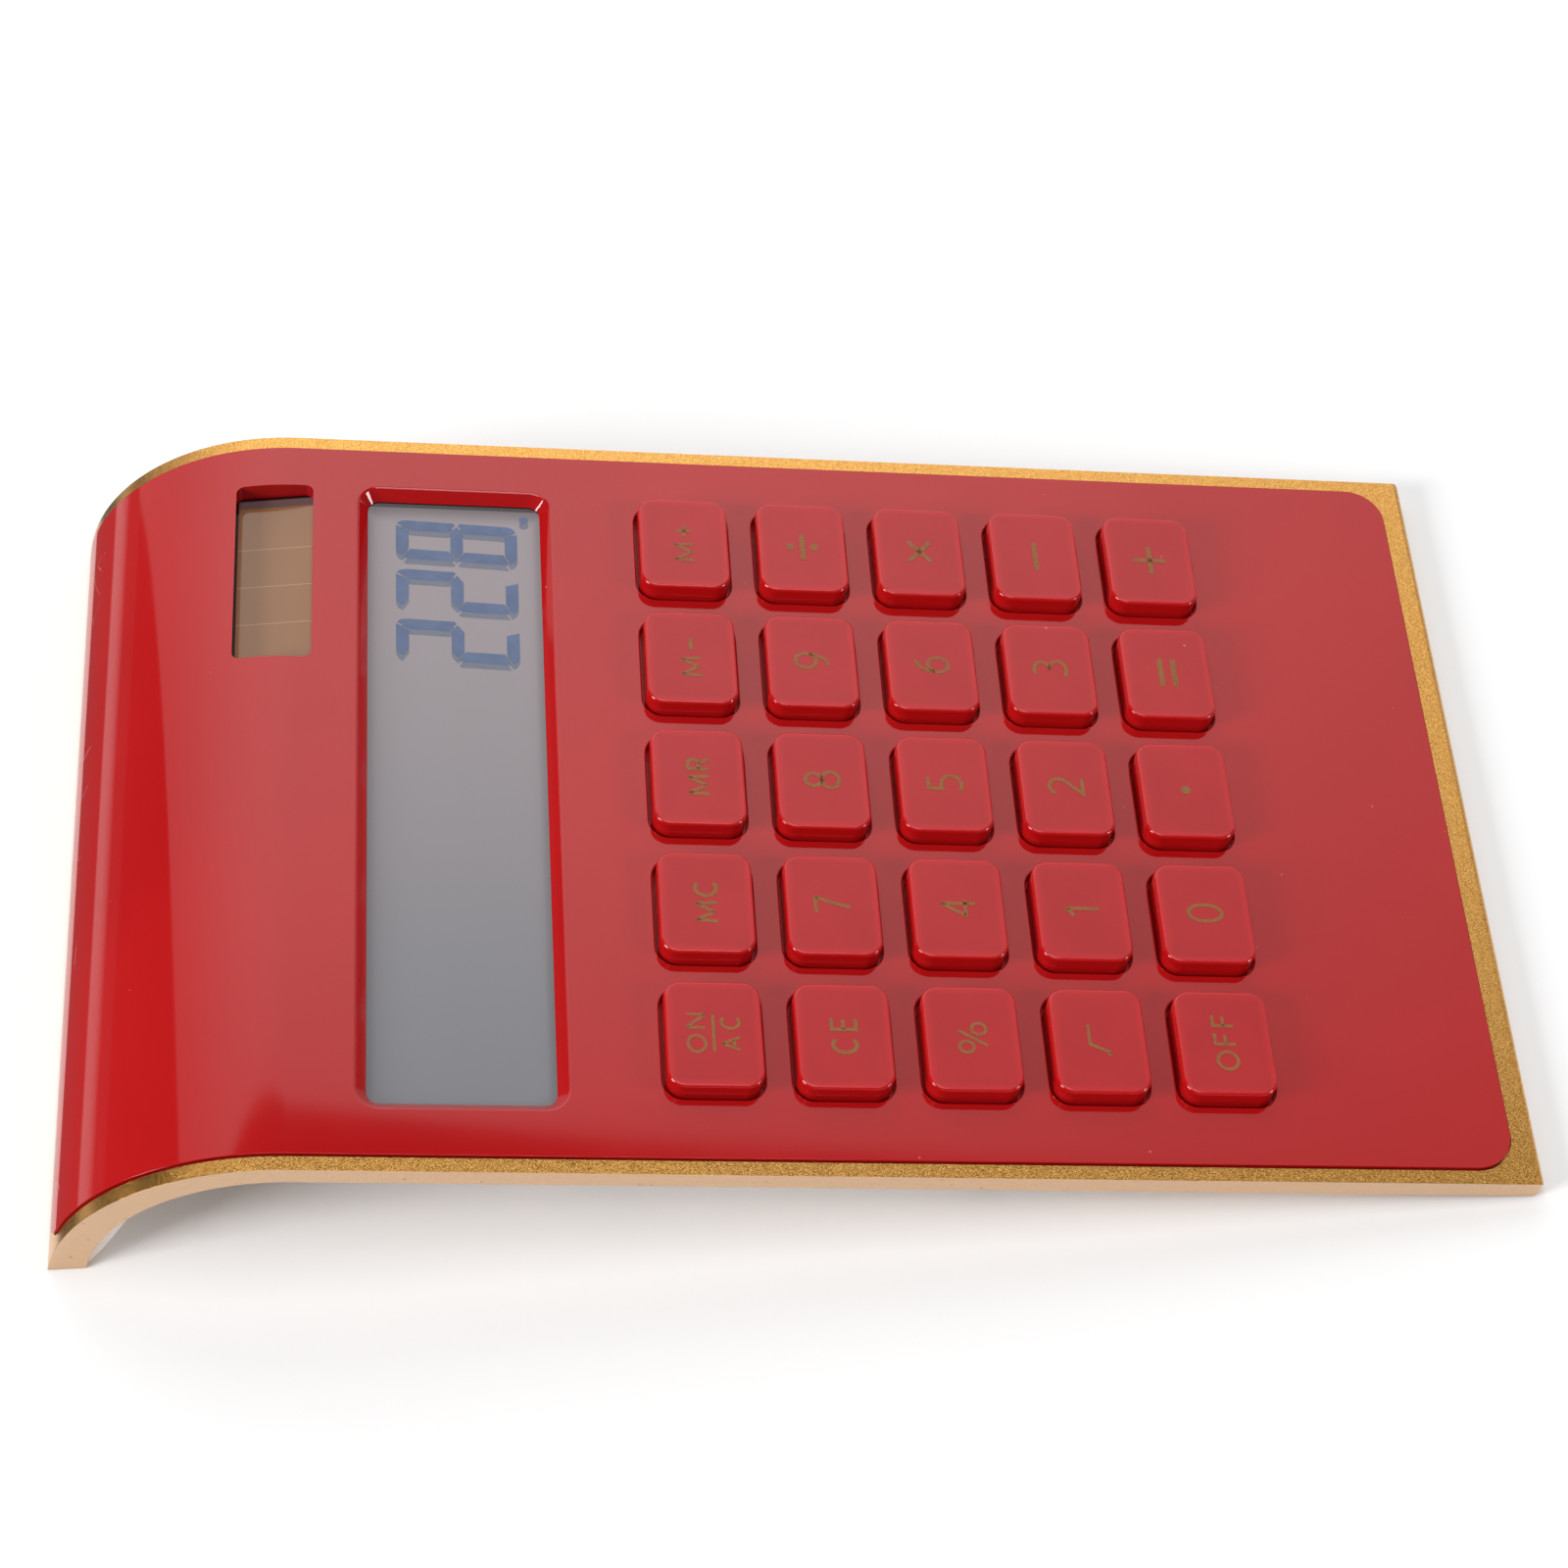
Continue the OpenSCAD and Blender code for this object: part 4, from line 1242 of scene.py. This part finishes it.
class InnerFinishes:
    """Finishes of the CAD nodes that stay, by the record's slot."""

    FINISHES: tuple[Moulded, ...] = (
        Moulded("pale_plastic", (0.92, 0.80, 0.72), (0.88, 0.74, 0.67), 0.42, 0.0, 1400.0, 0.12),
        Moulded("white_plastic", (0.84, 0.84, 0.81), (0.78, 0.78, 0.75), 0.45),
        Moulded("steel", (0.60, 0.60, 0.61), (0.48, 0.48, 0.50), 0.32, 1.0, 2400.0, 0.15),
        Moulded("cell_steel", (0.66, 0.66, 0.67), (0.58, 0.58, 0.60), 0.22, 1.0, 1800.0, 0.1),
        Moulded("black_rubber", (0.022, 0.022, 0.024), (0.015, 0.015, 0.016), 0.75, 0.0, 1500.0, 0.3),
        Moulded("clear_silicone", (0.62, 0.66, 0.68), (0.55, 0.60, 0.63), 0.35),
        Moulded("carbon_print", (0.020, 0.020, 0.022), (0.012, 0.012, 0.013), 0.85, 0.0, 3000.0, 0.3),
        Moulded("board_green", (0.012, 0.110, 0.040), (0.008, 0.080, 0.030), 0.38, 0.0, 1200.0, 0.2),
        Moulded("black_epoxy", (0.012, 0.012, 0.013), (0.008, 0.008, 0.009), 0.28),
        Moulded("ceramic_tan", (0.46, 0.33, 0.18), (0.38, 0.27, 0.14), 0.5),
        Moulded("ceramic_black", (0.020, 0.020, 0.022), (0.014, 0.014, 0.015), 0.45),
        Moulded("orange_glass", (0.62, 0.14, 0.03), (0.50, 0.10, 0.02), 0.12),
        Moulded("polariser_grey", (0.26, 0.24, 0.25), (0.20, 0.19, 0.20), 0.10),
        Moulded("display_glass", (0.34, 0.38, 0.38), (0.28, 0.32, 0.32), 0.06),
        Moulded("reflector_foil", (0.50, 0.49, 0.49), (0.44, 0.43, 0.43), 0.25, 0.8),
        Moulded("flex_film", (0.50, 0.27, 0.06), (0.42, 0.22, 0.05), 0.3),
        Moulded("solar_glass", (0.16, 0.09, 0.05), (0.13, 0.07, 0.04), 0.08),
        Moulded("black_foam", (0.030, 0.030, 0.032), (0.018, 0.018, 0.019), 0.95, 0.0, 1600.0, 0.5),
        Moulded("contact_brass", (0.62, 0.44, 0.16), (0.52, 0.36, 0.12), 0.3, 1.0),
        Moulded("wire_red", (0.42, 0.012, 0.012), (0.34, 0.008, 0.008), 0.4),
        Moulded("wire_black", (0.018, 0.018, 0.019), (0.012, 0.012, 0.013), 0.4),
    )

    def dress(self, nodes: dict[str, bpy.types.Object], effects: Effects) -> None:
        """Gives every CAD node the finish of its slot."""
        made = {item.name: replace(item, name=item.name + "_finish").make(effects) for item in self.FINISHES}
        for node in nodes.values():
            for place in node.material_slots:
                if place.material and place.material.name in made:
                    place.material = made[place.material.name]


# ---- studio ----


@dataclass
class Softbox:
    """A soft area light."""

    name: str
    place: Point
    target: Point
    size: tuple[float, float]
    radiance: float
    colour: Colour = (1.0, 1.0, 1.0)

    def hang(self) -> None:
        """Makes the light, turned to its target."""
        put_down_everything()
        bpy.ops.object.light_add(type="AREA", location=self.place)
        lamp = bpy.context.object
        lamp.name = self.name
        lamp.data.shape = "RECTANGLE"
        lamp.data.size, lamp.data.size_y = self.size
        lamp.data.energy = self.radiance * math.pi * self.size[0] * self.size[1]
        lamp.data.color = self.colour
        aim = Vector(self.target) - Vector(self.place)
        lamp.rotation_euler = aim.to_track_quat("-Z", "Y").to_euler()
        lamp.visible_camera = False


@dataclass
class LightPanel:
    """A tall bright panel on the far side: brightest in the middle, with a clear upper edge."""

    x: float = 0.62
    right: float = -1.70
    left: float = 0.765
    lean: float = 0.205
    top: float = 1.152
    middle: Point = (0.62, 0.06, 0.68)
    reach: float = 0.98
    radiance: float = 1.92

    def stand(self) -> None:
        """Makes the glowing panel; it isn't seen directly."""
        put_down_everything()
        bpy.ops.mesh.primitive_plane_add(
            size=1, rotation=(0, -math.pi / 2, 0),
            location=(self.x, (self.left + self.right) / 2, self.top / 2))
        bpy.context.object.scale = (self.top, self.left - self.right, 1)
        panel = Workpiece(bpy.context.object, "far_panel")
        with panel.editing("VERT"):
            shape = bmesh.from_edit_mesh(panel.obj.data)
            for vert in shape.verts:
                vert.select_set(vert.co.y > 0 and vert.co.z > self.top / 2)
            bmesh.update_edit_mesh(panel.obj.data)
            bpy.ops.transform.translate(value=(0, self.lean, 0))
        material = bpy.data.materials.new("far_panel_glow")
        material.use_nodes = True
        board = Board(material.node_tree)
        board.tree.nodes.clear()
        away = board.add("ShaderNodeVectorMath", operation="DISTANCE")
        board.join(board.add("ShaderNodeTexCoord").outputs["Object"], away.inputs[0])
        away.inputs[1].default_value = self.middle
        glow = board.add("ShaderNodeEmission")
        fading = board.remap(away.outputs["Value"], 0.0, self.reach, self.radiance, self.radiance * 0.32)
        board.join(fading, glow.inputs["Strength"])
        board.join(glow.outputs[0], board.add("ShaderNodeOutputMaterial").inputs[0])
        panel.obj.data.materials.append(material)
        panel.obj.visible_camera = False
        panel.obj.visible_shadow = False


@dataclass
class Studio:
    """Floor, lights and camera."""

    eye: Point = (-0.2340, 0.0197, 0.3475)
    forward: Point = (0.57373, -0.05071, -0.81748)
    up: Point = (0.81655, -0.04253, 0.57571)
    lens: float = 82.2

    def camera(self) -> None:
        """Sets the camera at the pictured angle."""
        put_down_everything()
        bpy.ops.object.camera_add(location=self.eye)
        camera = bpy.context.object
        back = -Vector(self.forward).normalized()
        right = Vector(self.up).cross(back).normalized()
        above = back.cross(right)
        turn = Matrix((right, above, back)).transposed().to_4x4()
        camera.matrix_world = Matrix.Translation(self.eye) @ turn
        camera.data.lens = self.lens
        camera.data.sensor_width = 36.0
        camera.data.clip_start = 0.01
        camera.data.clip_end = 50.0
        bpy.context.scene.camera = camera

    def floor(self) -> None:
        """A plain pale floor."""
        put_down_everything()
        bpy.ops.mesh.primitive_circle_add(vertices=96, radius=3.0, fill_type="NGON", location=(0, 0, -0.0001))
        floor = bpy.context.object
        floor.name = "floor"
        finish = Finish("floor_finish", Base_Color=(0.88, 0.88, 0.88), Roughness=0.9, Specular_IOR_Level=0.1)
        floor.data.materials.append(finish.material)

    def lights(self) -> None:
        """A dim room, a bright panel behind the far side and a softbox overhead."""
        world = bpy.data.worlds.new("room")
        bpy.context.scene.world = world
        world.use_nodes = True
        ground = world.node_tree.nodes["Background"]
        ground.inputs["Color"].default_value = (0.085, 0.085, 0.09, 1.0)
        ground.inputs["Strength"].default_value = 1.0
        LightPanel().stand()
        Softbox("overhead", (-0.15, 0.0, 1.30), (0.0, 0.0, 0.0), (0.80, 0.90), 3.7).hang()
        Softbox("display_side", (-0.42, 0.95, 0.50), (0.0, 0.0, 0.0), (0.40, 0.40), 20.0).hang()
        Softbox("user_side", (-0.35, -1.00, 0.45), (0.0, 0.0, 0.0), (0.26, 0.26), 16.0).hang()
        self.flag()

    def flag(self) -> None:
        """A dark card with a bright band on the floor past the foot, seen only in the bend's gloss."""
        put_down_everything()
        bpy.ops.mesh.primitive_plane_add(size=1, location=(-0.1, 0.084 + 0.75, 0.001))
        card = bpy.context.object
        card.name, card.scale = "dark_card", (1.4, 1.5, 1)
        bpy.ops.object.transform_apply(location=True, rotation=True, scale=True)
        felt = Finish("dark_card_felt", Roughness=0.9)
        along = felt.board.dot(felt.where, (0, 1, 0))
        near = felt.board.remap(along, 0.098, 0.101)
        far = felt.board.remap(along, 0.106, 0.15, 1.0, 0.0)
        bright = felt.board.sum("MULTIPLY", near, far)
        felt.set("Base_Color", felt.board.mix(bright, (0.08, 0.08, 0.08), (0.72, 0.72, 0.72)))
        card.data.materials.append(felt.material)
        card.visible_camera = card.visible_diffuse = card.visible_shadow = False

    def build(self) -> None:
        """Sets up the whole studio."""
        self.camera()
        self.floor()
        self.lights()
        bpy.context.scene.view_settings.view_transform = "Standard"
        bpy.context.scene.view_settings.look = "None"


def corners(bounds: tuple[Vector, Vector]) -> list[list[float]]:
    """A box as plain lists."""
    return [[float(value) for value in corner] for corner in bounds]


def main() -> None:
    """Builds the studio, the finishes and every sub-assembly."""
    logging.basicConfig(level=logging.INFO, format="%(name)s: %(message)s")
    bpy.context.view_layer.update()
    Studio().build()
    effects = Effects()
    face = FaceFrame.from_part(frame, Display.middle, Display.top - 0.1)
    pad = KeyPad()
    InnerFinishes().dress(frame["nodes"], effects)

    shell = Shell(face, pad)
    red = shell.red_face()
    dress(red, RedGloss().make(effects, face), "housing")
    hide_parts("face_panel")
    gold = shell.gold_frame()
    dress(gold, GoldPaint().make(effects), "housing")
    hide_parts("gold_frame")

    Keys(face, pad).build(RedKey().make(effects, face, pad), KeyInk().make(effects))
    Display(face).build(
        DisplayGlass(Display.width, Display.length, Display.middle).make(effects, face),
        SegmentInk("segment_ink", (0.085, 0.125, 0.235), (0.105, 0.150, 0.270), 0.80).make(effects),
        SegmentInk("segment_shade", (0.150, 0.205, 0.300), (0.160, 0.215, 0.310), 0.26).make(effects),
    )
    SolarCell(face).build(SolarGlass((23.5, 29.0, 34.6), 40.9, (42.4, 52.7)).make(effects, face))


if __name__ == "__main__":
    main()
